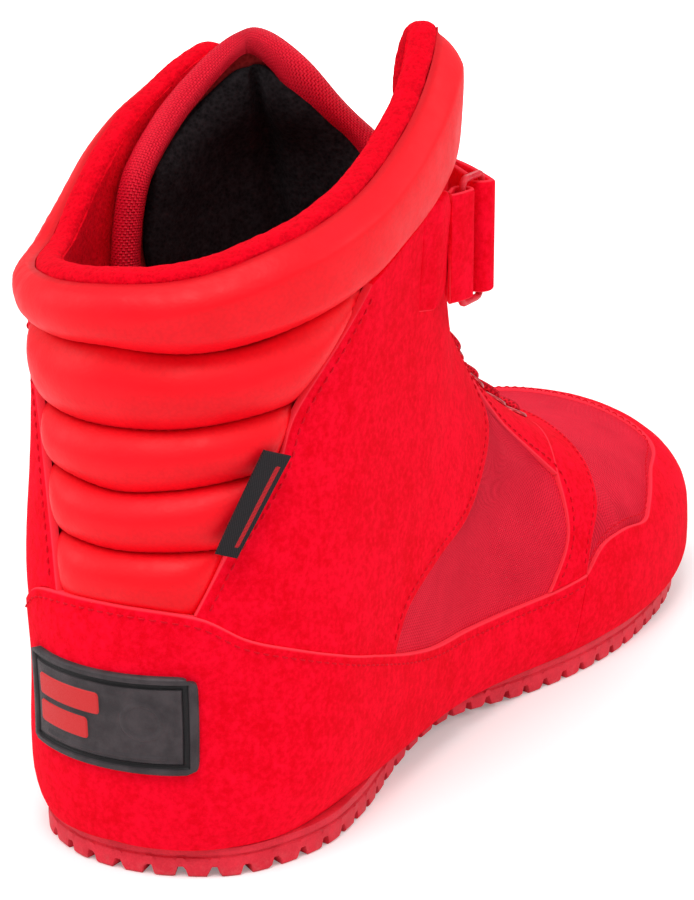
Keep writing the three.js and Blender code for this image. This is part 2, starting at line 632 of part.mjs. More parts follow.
function quarter(outer, sign) {
  const rear = outer ? REAR_SEAM : REAR_SEAM_INNER;
  const foot = outer ? [] : [rear[0]];
  const ground = [
    ...foot, [22.5, 7.4, 71.5], [32, 16, 64.4], [39, 29, 58.8], [43, 48, 51.7], QUARTER_FRONT[0],
  ];
  return panel({
    bottom: sideLine(ground, sign),
    top: sideLine(outer ? COLLAR_SEAM_SIDE : COLLAR_SEAM_INNER, sign),
    left: sideLine(rear, sign),
    right: sideLine([...QUARTER_FRONT, ...(outer ? COLLAR_OPENING : COLLAR_OPENING_INNER)], sign),
    across: 8,
    up: 12,
    depth: SKIN,
  });
}

const FOAM_CORNER = [33, 130, 76];
function quarterFoam(sign) {
  const ground = [[3, 3, 68], [30, 15, 68], [41, 45, 58], [41, 75, 52], [37, 108, 62], FOAM_CORNER];
  return panel({
    bottom: sideLine(ground, sign),
    top: sideLine([[3, 1, 132], [32, 20, 132], [45, 46, 138], [45, 80, 145], [40, 106, 156]], sign),
    left: sideLine([[3, 3, 68], [3, 5, 100], [3, 1, 132]], sign),
    right: sideLine([FOAM_CORNER, [34, 130, 100], [34.5, 122, 130], [40, 106, 156]], sign),
    across: 8,
    up: 5,
    depth: MIDDLE,
  });
}

function shaftLining(outer, sign) {
  const ground = groundLine(heelSection, sectionAtY(116));
  const rimLine = (outer ? RIM_SIDE : RIM_INNER).slice(1);
  const front = [
    [36, 114, 9], [38, 115, 64], [33, 136, 80], [29, 140, 97], [27, 134, 118], [29, 127, 140],
  ];
  const frontTop = outer ? [[32, 120, 165], [34, 106, 203]] : [[32, 119, 162], [36, 110, 192]];
  return panel({
    bottom: ground.map(([s, a]) => [s, sign * Math.min(a, Math.PI - 0.03)]),
    top: sideLine([[1.8, -2.4, 152], ...rimLine], sign),
    left: sideLine([[1.8, 3.6, 9], [1.8, 0.6, 60], [1.8, 4, 120], [1.8, -2.4, 152]], sign),
    right: sideLine([...front, ...frontTop], sign),
    across: 10,
    up: 11,
    depth: LINING.map((d) => (u, v, s) => d - collarExtra(s)),
  });
}

for (const [side, sign] of [["outer", 1], ["inner", -1]]) {
  add(`eyestay_${side}`, eyestay(sign), SUEDE);
  add(`mesh_panel_${side}`, meshPanel(sign), NET);
  add(`quarter_${side}`, quarter(sign > 0, sign), SUEDE);
  add(`quarter_foam_${side}`, quarterFoam(sign), FOAM);
  add(`shaft_lining_${side}`, shaftLining(sign > 0, sign), FLEECE);
}

// ---------------------------------------------------------------- stiffeners and forepart lining
add(
  "heel_counter",
  panel({
    bottom: aroundHeel(80),
    top: roundBack(bothSides([[41, 78, 36], [42, 45, 48], [32, 14, 59]], [[0, 1, 63]])),
    across: 20,
    up: 4,
    depth: MIDDLE,
  }),
  STIFF_BOARD,
);
add(
  "toe_puff",
  panel({
    bottom: aroundToe(238),
    top: alongSide(bothSides([[51, 236, 38], [42, 250, 47], [25, 262, 53]], [[0, 264, 56]])),
    across: 20,
    up: 4,
    depth: MIDDLE,
  }),
  STIFF_BOARD,
);
const INSTEP_EDGE = [
  [37.5, 121, 64], [34, 140, 73], [33, 158, 72], [30, 176, 66], [23, 198, 62], [14, 216, 60],
];
add(
  "forepart_lining",
  panel({
    bottom: aroundToe(123),
    top: alongSide(bothSides(INSTEP_EDGE, [[0, 222, 60]])),
    across: 28,
    up: 5,
    depth: LINING,
  }),
  FLEECE,
);

// ---------------------------------------------------------------- padded heel and collar
const seamAcrossBack = (side, back, inner) => roundBack([...side, back, ...mirrored(inner)]);
const PUFF_SEAMS = [
  seamAcrossBack([[22.5, 7.4, 71.5], [12, 3, 73.2]], FOXING_BACK, [REAR_SEAM_INNER[0]]),
  seamAcrossBack([[28.5, 14, 87], [16, 5, 86.6]], [0, 1, 86.2], [REAR_SEAM_INNER[1]]),
  seamAcrossBack([[35.5, 25, 105.5], [27, 14, 103.6], [16, 7, 102]], [0, 2, 101], [REAR_SEAM_INNER[2]]),
  seamAcrossBack(
    [[38.7, 31, 121], [29, 17, 118.6], [16, 8, 117]],
    [0, 3, 116.6],
    [[15, 7, 116.6], REAR_SEAM_INNER[3]],
  ),
  seamAcrossBack(
    [[46, 53, 147], [40, 31, 140.6], [32, 20, 137.3], [20, 9, 135.8]],
    [0, 1, 136.5],
    [[24, 11, 136], REAR_SEAM_INNER[4]],
  ),
];
const PUFF_NAMES = ["heel_puff_base", "heel_puff_lower", "heel_puff_middle", "heel_puff_upper"];
PUFF_NAMES.forEach((name, i) => {
  const puff = (u, v) => PUFF_BULGE * dome(v) * dome(u, 0.25) + PAD_EDGE;
  const across = 12 + 2 * i;
  add(
    name,
    panel({ bottom: PUFF_SEAMS[i], top: PUFF_SEAMS[i + 1], across, up: 5, depth: [SKIN[0], puff] }),
    PADDED,
  );
});

const collarShape = {
  bottom: roundBack([
    ...[...COLLAR_SEAM_SIDE].reverse(), [40, 31, 140.6], [24, 11, 136], [0, 1, 136.5], [-24, 11, 136],
    ...mirrored(COLLAR_SEAM_INNER),
  ]),
  top: roundBack([...[...RIM_SIDE].reverse(), ...mirrored(RIM_INNER).slice(1)]),
  left: roundBack(COLLAR_END),
  right: roundBack(mirrored(COLLAR_END_INNER)),
  across: 26,
};
const rollDepth = (u, v) => COLLAR_BULGE * dome(v, 0.6) + PAD_EDGE;
add("collar_roll", panel({ ...collarShape, up: 5, depth: [SKIN[0], rollDepth] }), PADDED);
const foamDepth = (u, v, s) => MIDDLE[0] + 0.6 - collarExtra(s);
add("collar_foam", panel({ ...collarShape, up: 2, depth: [foamDepth, MIDDLE[1]], inset: 9 }), FOAM);
const RIM_CORD = 1.7;
const RIM_CORD_DEPTH = -4.5;
const RIM_CORD_RISE = new THREE.Vector3(0, 0, 1.9);
const onRim = (place) => lifted(place, RIM_CORD_DEPTH).add(RIM_CORD_RISE);
add("rim_binding", cord(resample(collarShape.top, 30).map(onRim), RIM_CORD, 34, 5), FLEECE);

// ---------------------------------------------------------------- tongue
// Its edge as [s, degrees]; the wings lie along the lining, and the inner one reaches further back.
const TONGUE_OUTER = [[0.26, 27.5], [0.33, 31], [0.42, 34], [0.55, 38.5], [0.68, 43.5], [0.8, 48.5]];
const TONGUE_INNER = [
  [0.26, -27.5], [0.33, -31], [0.42, -34], [0.55, -40], [0.66, -48.5], [0.76, -60.5], [0.84, -76],
  [0.88, -85], [0.926, -85],
];
const TONGUE_TOP = [
  [0.8, 48.5], [0.845, 37], [0.875, 26], [0.9, 17.5], [0.925, 11], [0.953, 2], [0.966, -10], [0.97, -20],
  [0.97, -32.5], [0.971, -45], [0.964, -54.5], [0.955, -63], [0.942, -75], [0.926, -85],
];
const TONGUE_FOOT = [[0.26, 27.5], [0.26, 14], [0.26, 0], [0.26, -14], [0.26, -27.5]];
const degrees = (list) => list.map(([s, a]) => [s, THREE.MathUtils.degToRad(a)]);
const tongueShape = {
  bottom: through(degrees(TONGUE_FOOT)),
  top: through(degrees(TONGUE_TOP)),
  left: through(degrees(TONGUE_OUTER)),
  right: through(degrees(TONGUE_INNER)),
};
function tongueDepth(s, a) {
  const wing = smooth(34, 70, Math.abs(THREE.MathUtils.radToDeg(a)));
  return -(TONGUE_DEPTH + collarExtra(s) + TONGUE_LEAN * smooth(0.86, 1, s) * (1 - 0.85 * wing));
}
function tongueLayer(above, below) {
  const depth = [below, above].map((d) => (u, v, s, a) => tongueDepth(s, a) - d);
  return panel({ ...tongueShape, across: 12, up: 10, depth, inset: TONGUE_EDGE });
}
add("tongue_face", tongueLayer(0, 0.9), WOVEN);
add("tongue_foam", tongueLayer(1.4, 4.2), FOAM);
add("tongue_lining", tongueLayer(4.7, 6), BLACK_FLEECE);
const tongueEdge = [
  ...tongueShape.left,
  ...tongueShape.top.slice(1),
  ...[...tongueShape.right].reverse().slice(1),
];
const bindingDepth = ([s, a]) => tongueDepth(s, a) - TONGUE_BINDING_DEPTH;
const tongueCord = resample(tongueEdge, 50).map((place) => lifted(place, bindingDepth(place)));
add("tongue_binding", cord(tongueCord, TONGUE_BINDING_RADIUS, 44, 5), WOVEN);

// ---------------------------------------------------------------- eyelets and lace
const eyeletProfile = [
  [EYELET_INNER, -2.1], [EYELET_INNER + 0.3, -2.1], [EYELET_INNER + 0.3, 0.8], [EYELET_OUTER, 0.8],
  [EYELET_OUTER - 0.4, 1.4], [EYELET_INNER, 1.4], [EYELET_INNER, -2.1],
].map(([r, h]) => new THREE.Vector2(r, h));
for (const [side, sign] of [["outer", 1], ["inner", -1]])
  eyeletPlaces(sign).forEach((place, k) => {
    const ring = facingOut(mergeVertices(bare(new THREE.LatheGeometry(eyeletProfile, 8)), 1e-4));
    add(`eyelet_${side}_${k + 1}`, aimed(ring, lifted(place, 0), outward(...place)), RED_LACQUER);
  });

// Each strand zigzags between the two rows, over the flaps at one crossing and under them at the next.
function laceStrand(firstSign, lift) {
  const rows = { 1: eyeletPlaces(1), "-1": eyeletPlaces(-1) };
  const points = [];
  for (let k = 0; k < EYELET_PAIRS; k++) {
    const sign = k % 2 ? -firstSign : firstSign;
    const here = rows[sign][k];
    const arriving = k % 2 ? LACE_UNDER : LACE_OVER;
    const leaving = k % 2 ? LACE_OVER : LACE_UNDER;
    const through = (arriving + leaving) / 2;
    points.push(...[arriving * 0.75, through, leaving * 0.8].map((depth) => lifted(here, depth)));
    if (k === EYELET_PAIRS - 1) break;
    const next = rows[-sign][k + 1];
    for (const t of [0.14, 0.3, 0.5, 0.7, 0.86]) {
      const spot = [lerp(here[0], next[0], t), lerp(here[1], next[1], t)];
      points.push(lifted(spot, leaving + lift * (t === 0.5 ? 1 : 0)));
    }
  }
  const [s, a] = rows[EYELET_PAIRS % 2 ? firstSign : -firstSign].at(-1);
  points.push(lifted([s + 0.01, a * 0.8], LACE_UNDER));
  return points;
}

const strandA = laceStrand(1, 1.4);
const strandB = laceStrand(-1, -1.4);
const [firstA, firstB] = [eyeletPlaces(1)[0], eyeletPlaces(-1)[0]];
const bar = [0.14, 0.35, 0.65, 0.86].map((t) =>
  lifted([lerp(firstB[0], firstA[0], t), lerp(firstB[1], firstA[1], t)], LACE_OVER),
);
add("lace", cord([...strandB.reverse(), ...bar, ...strandA], LACE_RADIUS, 140, 4), WOVEN);

// ---------------------------------------------------------------- ankle strap
const STRAP_LINE = [
  [-48.1, 87], [-47.8, 98], [-43, 112], [-34, 126], [-20, 136], [-4, 140], [11.5, 138.5], [24, 132.5],
  [34, 124.5], [40.2, 117.5],
];
const strapLine = new THREE.SplineCurve(STRAP_LINE.map(([x, y]) => new THREE.Vector2(x, y)));
function besideStrap(from, to, count, distance) {
  return Array.from({ length: count + 1 }, (_, i) => {
    const t = lerp(from, to, i / count);
    const p = strapLine.getPointAt(t);
    const along = strapLine.getTangentAt(t);
    return [p.x - along.y * distance, p.y + along.x * distance];
  });
}
function aroundPin([x, y], radius, from, to, count) {
  return Array.from({ length: count + 1 }, (_, i) => {
    const a = (lerp(from, to, i / count) * Math.PI) / 180;
    return [x + radius * Math.cos(a), y + radius * Math.sin(a)];
  });
}
add("strap", ribbon(STRAP_LINE, STRAP_THICKNESS, STRAP_LOW, STRAP_HIGH, 26), SUEDE);
const loopLine = besideStrap(0.2, 0.86, 12, 1.6);
add("strap_loop_patch", ribbon(loopLine, 0.8, STRAP_LOW + 3, STRAP_HIGH - 0.6, 20), BLACK_FLEECE);
const tailLine = [
  ...aroundPin(STRAP_PIN, PIN_FOLD + 0.1, -125, 45, 5), ...besideStrap(0.92, 0.2, 9, 4),
];
add("strap_tail", ribbon(tailLine, STRAP_THICKNESS, STRAP_LOW + 0.5, STRAP_HIGH - 0.5, 36), SUEDE);
const hookLine = besideStrap(0.24, 0.5, 6, 2.6);
add("strap_hook_patch", ribbon(hookLine, 0.6, STRAP_LOW + 4, STRAP_HIGH - 4, 10), BLACK_FLEECE);

function ringLoop() {
  const [a, b] = [KEEPER_PIN, STRAP_PIN];
  const [low, high] = [STRAP_LOW - 1.6, STRAP_HIGH + 1.6];
  const at = (t, z) => new THREE.Vector3(lerp(a[0], b[0], t), lerp(a[1], b[1], t), z);
  const middle = (low + high) / 2;
  const points = [
    at(0, low + RING_CORNER), at(0, middle), at(0, high - RING_CORNER), at(0.2, high), at(0.8, high),
    at(1, high - RING_CORNER), at(1, middle), at(1, low + RING_CORNER), at(0.8, low), at(0.2, low),
  ];
  const loop = new THREE.CatmullRomCurve3(points, true, "catmullrom", 0.3);
  return new THREE.TubeGeometry(loop, 32, RING_WIRE, 6, true);
}
add("strap_ring", facingOut(mergeVertices(bare(ringLoop()), 1e-4)), RED_LACQUER);
const keeperLine = [
  [44.1, 98.6], [43.3, 101.5], ...aroundPin(KEEPER_PIN, PIN_FOLD, 190, -30, 6), [47, 100.5], [46, 96.2],
];
add("ring_keeper", ribbon(keeperLine, 1.2, STRAP_LOW + 1, STRAP_HIGH - 1, 26), SUEDE);
const ANCHOR_REAR = [[43.5, 81.5, 133], [45.8, 80, 160]];
const ANCHOR_FRONT = [
  [42.5, 87, 132.5], [40.5, 95, 137], [40, 98, 147], [41.5, 96.5, 157], [43.5, 91, 163.5],
];
add(
  "strap_anchor",
  panel({
    bottom: straight([ANCHOR_REAR[0], ANCHOR_FRONT[0]]),
    top: straight([ANCHOR_REAR[1], ANCHOR_FRONT.at(-1)]),
    left: straight(ANCHOR_REAR),
    right: alongSide(ANCHOR_FRONT),
    across: 4,
    up: 6,
    depth: [0.5, 2],
  }),
  SUEDE,
);

// ---------------------------------------------------------------- labels
add(
  "heel_patch",
  panel({
    bottom: roundBack([[22.4, 7, 30], [-1.2, 1, 30], [-24.8, 8, 30]]),
    top: roundBack([[22.4, 7, 56], [-1.2, 0, 56], [-24.8, 8, 56]]),
    across: 12,
    up: 3,
    depth: [1, 2.8],
  }),
  GREY_RUBBER,
);
add(
  "woven_tag",
  panel({
    bottom: straight([[25, 11, 88], [29, 14.5, 86]]),
    top: straight([[32.5, 20.5, 113], [37, 26.5, 110]]),
    across: 2,
    up: 5,
    depth: [3.8, 4.8],
  }),
  TAG_WEAVE,
);

const boot = new THREE.Group();
boot.name = "boxing_boot";
boot.add(...bodies);
export default boot;
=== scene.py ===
import math

import bpy
import numpy as np
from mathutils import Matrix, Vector, noise


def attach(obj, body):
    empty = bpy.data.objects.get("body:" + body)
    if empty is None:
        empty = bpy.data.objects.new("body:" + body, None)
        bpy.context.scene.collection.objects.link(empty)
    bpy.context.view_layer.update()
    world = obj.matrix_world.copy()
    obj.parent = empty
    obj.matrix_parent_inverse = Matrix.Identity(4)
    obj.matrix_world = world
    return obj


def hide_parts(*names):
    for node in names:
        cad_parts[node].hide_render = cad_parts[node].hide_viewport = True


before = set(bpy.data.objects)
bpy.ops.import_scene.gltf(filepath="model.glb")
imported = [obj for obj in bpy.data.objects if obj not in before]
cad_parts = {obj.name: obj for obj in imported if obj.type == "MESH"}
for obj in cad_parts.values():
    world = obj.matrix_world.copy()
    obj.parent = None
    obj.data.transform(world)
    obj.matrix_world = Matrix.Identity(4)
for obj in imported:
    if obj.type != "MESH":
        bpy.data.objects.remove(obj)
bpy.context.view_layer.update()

# A padded high-top boxing boot. Shapes are worked out in millimetres in the frame's own axes and scaled to
# metres when a mesh is made.
MM = 0.001

# ---------------------------------------------------------------- driving sizes, as in the frame
HEEL_SETBACK = 42.0
SOLE_EDGE_HEIGHT = 8.0
FLOOR_GAP = 0.5
COLLAR_EXTRA = 3.4
LINING_OUT, LINING_IN = -5.6, -7.4
SEAM = 0.12
STEP = 2.2
PUFF_STEP = 1.5

# ---------------------------------------------------------------- the shape of the foot
# Cross-sections fanned from the toe to the top of the collar: front or top point and back or bottom point
# in the side view, outer and inner half width, share of the height where it is widest, squareness of the
# lower and upper half, middle x.
SECTIONS = np.array([
    (302.5, 20.6, 302.5, 20.5, 8, 8, 0.5, 2.2, 2, -12),
    (299, 38, 301, 8, 27, 26, 0.45, 3, 2, -11),
    (287, 49, 291, 4, 42, 40, 0.42, 4.5, 2.1, -9),
    (268, 56, 271, 3, 50, 48, 0.4, 5.5, 2.2, -6),
    (242, 60, 244, 3, 54, 51, 0.38, 6, 2.2, -3),
    (214, 66, 214, 3, 54, 51, 0.37, 6, 2.2, -1),
    (190, 77, 182, 3, 50, 47, 0.36, 6, 2.2, 0),
    (171, 90, 148, 3, 43, 43, 0.36, 5.5, 2.3, 0),
    (158, 102, 110, 3, 40, 40, 0.37, 5, 2.5, 0),
    (149, 111, 68, 3, 41.5, 41.5, 0.38, 5, 2.7, 0),
    (143, 118, 32, 3, 43, 43, 0.39, 4.5, 2.8, 0),
    (139, 124, 10, 4, 43.5, 43.5, 0.4, 2.9, 2.8, 0),
    (137, 130, 2.5, 12, 44, 44, 0.41, 2.3, 2.8, 0),
    (135, 136, 1, 36, 44, 44.5, 0.42, 2.1, 2.8, 0),
    (133, 142, 0, 60, 44, 46, 0.43, 2.05, 2.8, 0),
    (131, 150, 2, 86, 44.5, 46, 0.44, 2, 2.8, 0),
    (129, 160, 4, 108, 45, 46, 0.45, 2, 2.8, 0),
    (127, 174, 4, 130, 46.5, 46.5, 0.46, 2, 2.8, 0),
    (124, 190, 0, 148, 48, 47, 0.47, 2, 2.8, 0),
    (122, 212, -5, 166, 50, 48, 0.48, 2, 2.8, 0),
])


def cubic(a, b, c, d, t):
    square, cube = 2 * a - 5 * b + 4 * c - d, 3 * b - a - 3 * c + d
    return 0.5 * (2 * b + (c - a) * t + square * t * t + cube * t ** 3)


def smooth(low, high, v):
    t = np.clip((np.asarray(v, float) - low) / (high - low), 0, 1)
    return t * t * (3 - 2 * t)


def section_at(s):
    last = len(SECTIONS) - 1
    u = np.clip(s, 0, 1) * last
    i = np.minimum(u.astype(int), last - 1)
    rows = [SECTIONS[np.clip(i + k, 0, last)] for k in (-1, 0, 1, 2)]
    return cubic(*rows, (u - i)[..., None])


def surface(s, a):
    """Points of the outer surface, in mm: s from the toe (0) to the collar (1), a from the front or top (0)
    over the outer side (a quarter turn) to the back or bottom (half a turn)."""
    s, a = np.broadcast_arrays(np.asarray(s, float), np.asarray(a, float))
    q = section_at(s)
    ty, tz, by, bz, outer, inner, wide, below, above, mid = [q[..., k] for k in range(10)]
    c, n = np.cos(a), np.sin(a)
    power = np.where(c > 0, above, below)
    reach = (np.abs(c) ** power + np.abs(n) ** power) ** (-1 / power)
    share = wide + np.where(c > 0, 1 - wide, wide) * c * reach
    x = mid + np.where(n > 0, outer, inner) * n * reach
    return np.stack([x, by + share * (ty - by) - HEEL_SETBACK, bz + share * (tz - bz)], -1)


def unit(v):
    return v / np.maximum(np.linalg.norm(v, axis=-1, keepdims=True), 1e-9)


def outward(s, a):
    h = 1e-3
    s = np.clip(s, 0.002, 0.998)
    along_s = surface(s + h, a) - surface(s - h, a)
    along_a = surface(s, a + h) - surface(s, a - h)
    return -unit(np.cross(along_a, along_s))


def lifted(places, depth):
    s, a = places[..., 0], places[..., 1]
    return surface(s, a) + outward(s, a) * np.asarray(depth, float)[..., None]


GRID_S, GRID_A = np.meshgrid(np.linspace(0, 1, 61), np.linspace(-math.pi, math.pi, 72, False), indexing="ij")
GRID_POINTS = surface(GRID_S, GRID_A).reshape(-1, 3)


def on(points):
    """The places (s, a) on the surface nearest to points given with y from the back of the heel."""
    goal = np.array(points, float) - (0, HEEL_SETBACK, 0)
    best = ((goal[:, None] - GRID_POINTS[None]) ** 2).sum(-1).argmin(1)
    place = np.stack([GRID_S.ravel()[best], GRID_A.ravel()[best]], -1)
    h = 1e-5
    for _ in range(40):
        low = np.clip(place[:, 0], h, 1 - h)
        here = surface(low, place[:, 1])
        ds = (surface(low + h, place[:, 1]) - surface(low - h, place[:, 1])) / (2 * h)
        da = (surface(low, place[:, 1] + h) - surface(low, place[:, 1] - h)) / (2 * h)
        miss = goal - here
        ss, sa, aa = (ds * ds).sum(-1) + 1e-3, (ds * da).sum(-1), (da * da).sum(-1) + 1e-3
        ms, ma = (ds * miss).sum(-1), (da * miss).sum(-1)
        det = ss * aa - sa * sa
        place[:, 0] = np.clip(low + np.clip((ms * aa - ma * sa) / det, -0.02, 0.02) * 0.8, 0, 1)
        place[:, 1] += np.clip((ma * ss - ms * sa) / det, -0.1, 0.1) * 0.8
    place[:, 1] = np.arctan2(np.sin(place[:, 1]), np.cos(place[:, 1]))
    return place


# ---------------------------------------------------------------- curves on the surface
def mirrored(points):
    return [(-x, y, z) for x, y, z in points]


def both_sides(points, middle=()):
    return [*points, *middle, *reversed(mirrored(points))]


def behind(places):
    places = np.array(places, float)
    places[:, 1] = np.where(places[:, 1] < -1e-3, places[:, 1] + 2 * math.pi, places[:, 1])
    return places


def through(places, fine=16):
    """A smooth curve through places or points."""
    p = np.asarray(places, float)
    q = np.vstack([p[:1], p, p[-1:]])
    t = (np.arange(fine) / fine)[:, None]
    parts = [cubic(q[i], q[i + 1], q[i + 2], q[i + 3], t) for i in range(len(p) - 1)]
    return np.vstack([*parts, p[-1:]])


def run_length(points):
    return np.concatenate([[0], np.cumsum(np.linalg.norm(np.diff(points, axis=0), axis=1))])


def sampled(rows, at, t):
    """Rows given at t, read off at other values of t."""
    return np.stack([np.interp(at, t, column) for column in np.asarray(rows).T], -1)


def at_shares(places, shares):
    """Places at shares of a curve's length."""
    run = run_length(surface(places[:, 0], places[:, 1]))
    return sampled(places, np.asarray(shares) * run[-1], run)


def even(line, step):
    """A line's points, about step mm apart."""
    run = run_length(line)
    return sampled(line, np.linspace(0, run[-1], max(4, int(run[-1] / step)) + 1), run)


def along_side(points):
    """Places under a smooth line through points in mm."""
    return on(through(points, 8))


def round_back(points):
    return behind(along_side(points))


def chord(points, sign):
    """Places on one side of the boot, given by points with x measured away from the middle."""
    places = on([(sign * x, y, z) for x, y, z in points])
    places[:, 1] = sign * np.abs(places[:, 1])
    return places


def one_side(points, sign):
    return chord(through(points, 8), sign)


# ---------------------------------------------------------------- the ground line of the upper
SPRING_START, SPRING_REACH, SPRING_RISE = 215, 85, 11.4
ARCH_CENTRE, ARCH_REACH, ARCH_RISE = 120, 45, 3.4
ARCH_AT_EDGE = 0.6  # share of the arch that the top edge of the sole follows


def spring(y):
    return SPRING_RISE * (np.maximum(0, y + HEEL_SETBACK - SPRING_START) / SPRING_REACH) ** 2


def arch(y):
    along = np.clip((y + HEEL_SETBACK - ARCH_CENTRE) / ARCH_REACH, -1, 1)
    return ARCH_RISE * np.cos(math.pi / 2 * along) ** 2


def sole_bottom(y):
    return spring(y) + arch(y)


def sole_top(y):
    return SOLE_EDGE_HEIGHT + spring(y) + arch(y) * ARCH_AT_EDGE


def floor_angle(s):
    s = np.asarray(s, float)
    high, low = np.full(s.shape, 0.02), np.full(s.shape, math.pi)

    def above(a):
        p = surface(s, a)
        return p[..., 2] > sole_top(p[..., 1]) + FLOOR_GAP

    whole = above(low)
    for _ in range(30):
        mid = (high + low) / 2
        up = above(mid)
        high, low = np.where(up, mid, high), np.where(up, low, mid)
    return np.where(whole, math.pi, high)


SIDE_S = np.linspace(0.002, 0.62, 400)
SIDE_A = floor_angle(SIDE_S)
SIDE_Y = surface(SIDE_S, SIDE_A)[:, 1] + HEEL_SETBACK
HEEL_S = SIDE_S[np.argmax(SIDE_A > math.pi - 1e-3)]


def section_at_y(y):
    return float(np.interp(-y, -SIDE_Y[SIDE_S < HEEL_S], SIDE_S[SIDE_S < HEEL_S]))


def ground_line(from_s, to_s, count=90):
    s = np.linspace(from_s, to_s, count)
    a = np.where(s <= 0, math.pi / 2, np.where(s >= HEEL_S, math.pi, floor_angle(s)))
    return np.stack([s, a], -1)


def around_toe(y):
    side = ground_line(section_at_y(y), 0)
    nose = np.array([(0, k * math.pi / 2) for k in (0.75, 0.5, 0.25, 0, -0.25, -0.5, -0.75)])
    return np.vstack([side, nose, (side * (1, -1))[::-1]])


def around_heel(y):
    side = ground_line(section_at_y(y), HEEL_S)
    return np.vstack([side, (side * (1, -1) + (0, 2 * math.pi))[::-1]])


def collar_extra(s):
    """mm by which the lining stands further in along the padded collar."""
    return COLLAR_EXTRA * smooth(0.84, 0.95, s)


# ---------------------------------------------------------------- making objects
def placed(name, data):
    obj = bpy.data.objects.new(name, data)
    bpy.context.scene.collection.objects.link(obj)
    return obj


def build(name, vertices, faces, material, body="boot", uv=None, sharp=50):
    """A mesh object from points in mm, riding on a body."""
    mesh = bpy.data.meshes.new(name)
    mesh.from_pydata((np.asarray(vertices) * MM).tolist(), [], faces)
    if uv is not None:
        layer = mesh.uv_layers.new(name="along")
        loops = np.zeros(len(mesh.loops), int)
        mesh.loops.foreach_get("vertex_index", loops)
        layer.data.foreach_set("uv", np.asarray(uv, float)[loops].ravel())
    mesh.materials.append(material)
    mesh.shade_smooth()
    mesh.set_sharp_from_angle(angle=math.radians(sharp))
    mesh.validate()
    obj = placed(name, mesh)
    face_out(obj)
    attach(obj, body)
    return obj


def face_out(obj):
    import bmesh
    bm = bmesh.new()
    bm.from_mesh(obj.data)
    if bm.calc_volume(signed=True) < 0:
        bmesh.ops.reverse_faces(bm, faces=bm.faces)
    bm.to_mesh(obj.data)
    bm.free()


def grid_faces(rows, cols, start=0, flip=False, wrap=False):
    faces = []
    last = cols if wrap else cols - 1
    for i in range(rows - 1):
        for j in range(last):
            k = (j + 1) % cols
            here, ahead = start + i * cols, start + (i + 1) * cols
            quad = (here + j, ahead + j, ahead + k, here + k)
            faces.append(quad[::-1] if flip else quad)
    return faces


def uv_grid(across, along):
    """Places on the woven cloth for a grid of points: mm across each row and mm along the rows."""
    return np.stack(np.broadcast_arrays(across[None], along[:, None]), -1).reshape(-1, 2)


def cord_faces(rows, cols):
    """Faces of a closed cord made of rows rings of cols points, with a cap at each end."""
    ends = [tuple(range(cols))[::-1], tuple((rows - 1) * cols + j for j in range(cols))]
    return grid_faces(rows, cols, wrap=True) + ends


def loop_faces(rows, cols):
    """Faces of rows rings of cols points that close on themselves."""
    last = (rows - 1) * cols
    seam = [(last + j, j, (j + 1) % cols, last + (j + 1) % cols) for j in range(cols)]
    return grid_faces(rows, cols, wrap=True) + seam


def slab_faces(rows, cols):
    """Faces of a closed solid between two grids of rows x cols points, upper first."""
    n = rows * cols
    faces = grid_faces(rows, cols) + grid_faces(rows, cols, n, flip=True)
    for i in range(rows - 1):
        a, b = i * cols, (i + 1) * cols
        faces.append((a, a + n, b + n, b))
        a, b = a + cols - 1, b + cols - 1
        faces.append((a, b, b + n, a + n))
    for j in range(cols - 1):
        faces.append((j, j + 1, j + 1 + n, j + n))
        a = (rows - 1) * cols + j
        faces.append((a, a + n, a + 1 + n, a + 1))
    return faces


def spread(length, step, edge):
    """Shares of a length with extra lines close to both ends, for rounded edges."""
    rim = np.array([0, 0.15, 0.4, 0.75, 1.2]) * edge / length
    middle = np.linspace(rim[-1], 1 - rim[-1], max(2, int(length / step)) + 1)[1:-1]
    return np.concatenate([rim, middle, 1 - rim[::-1]])


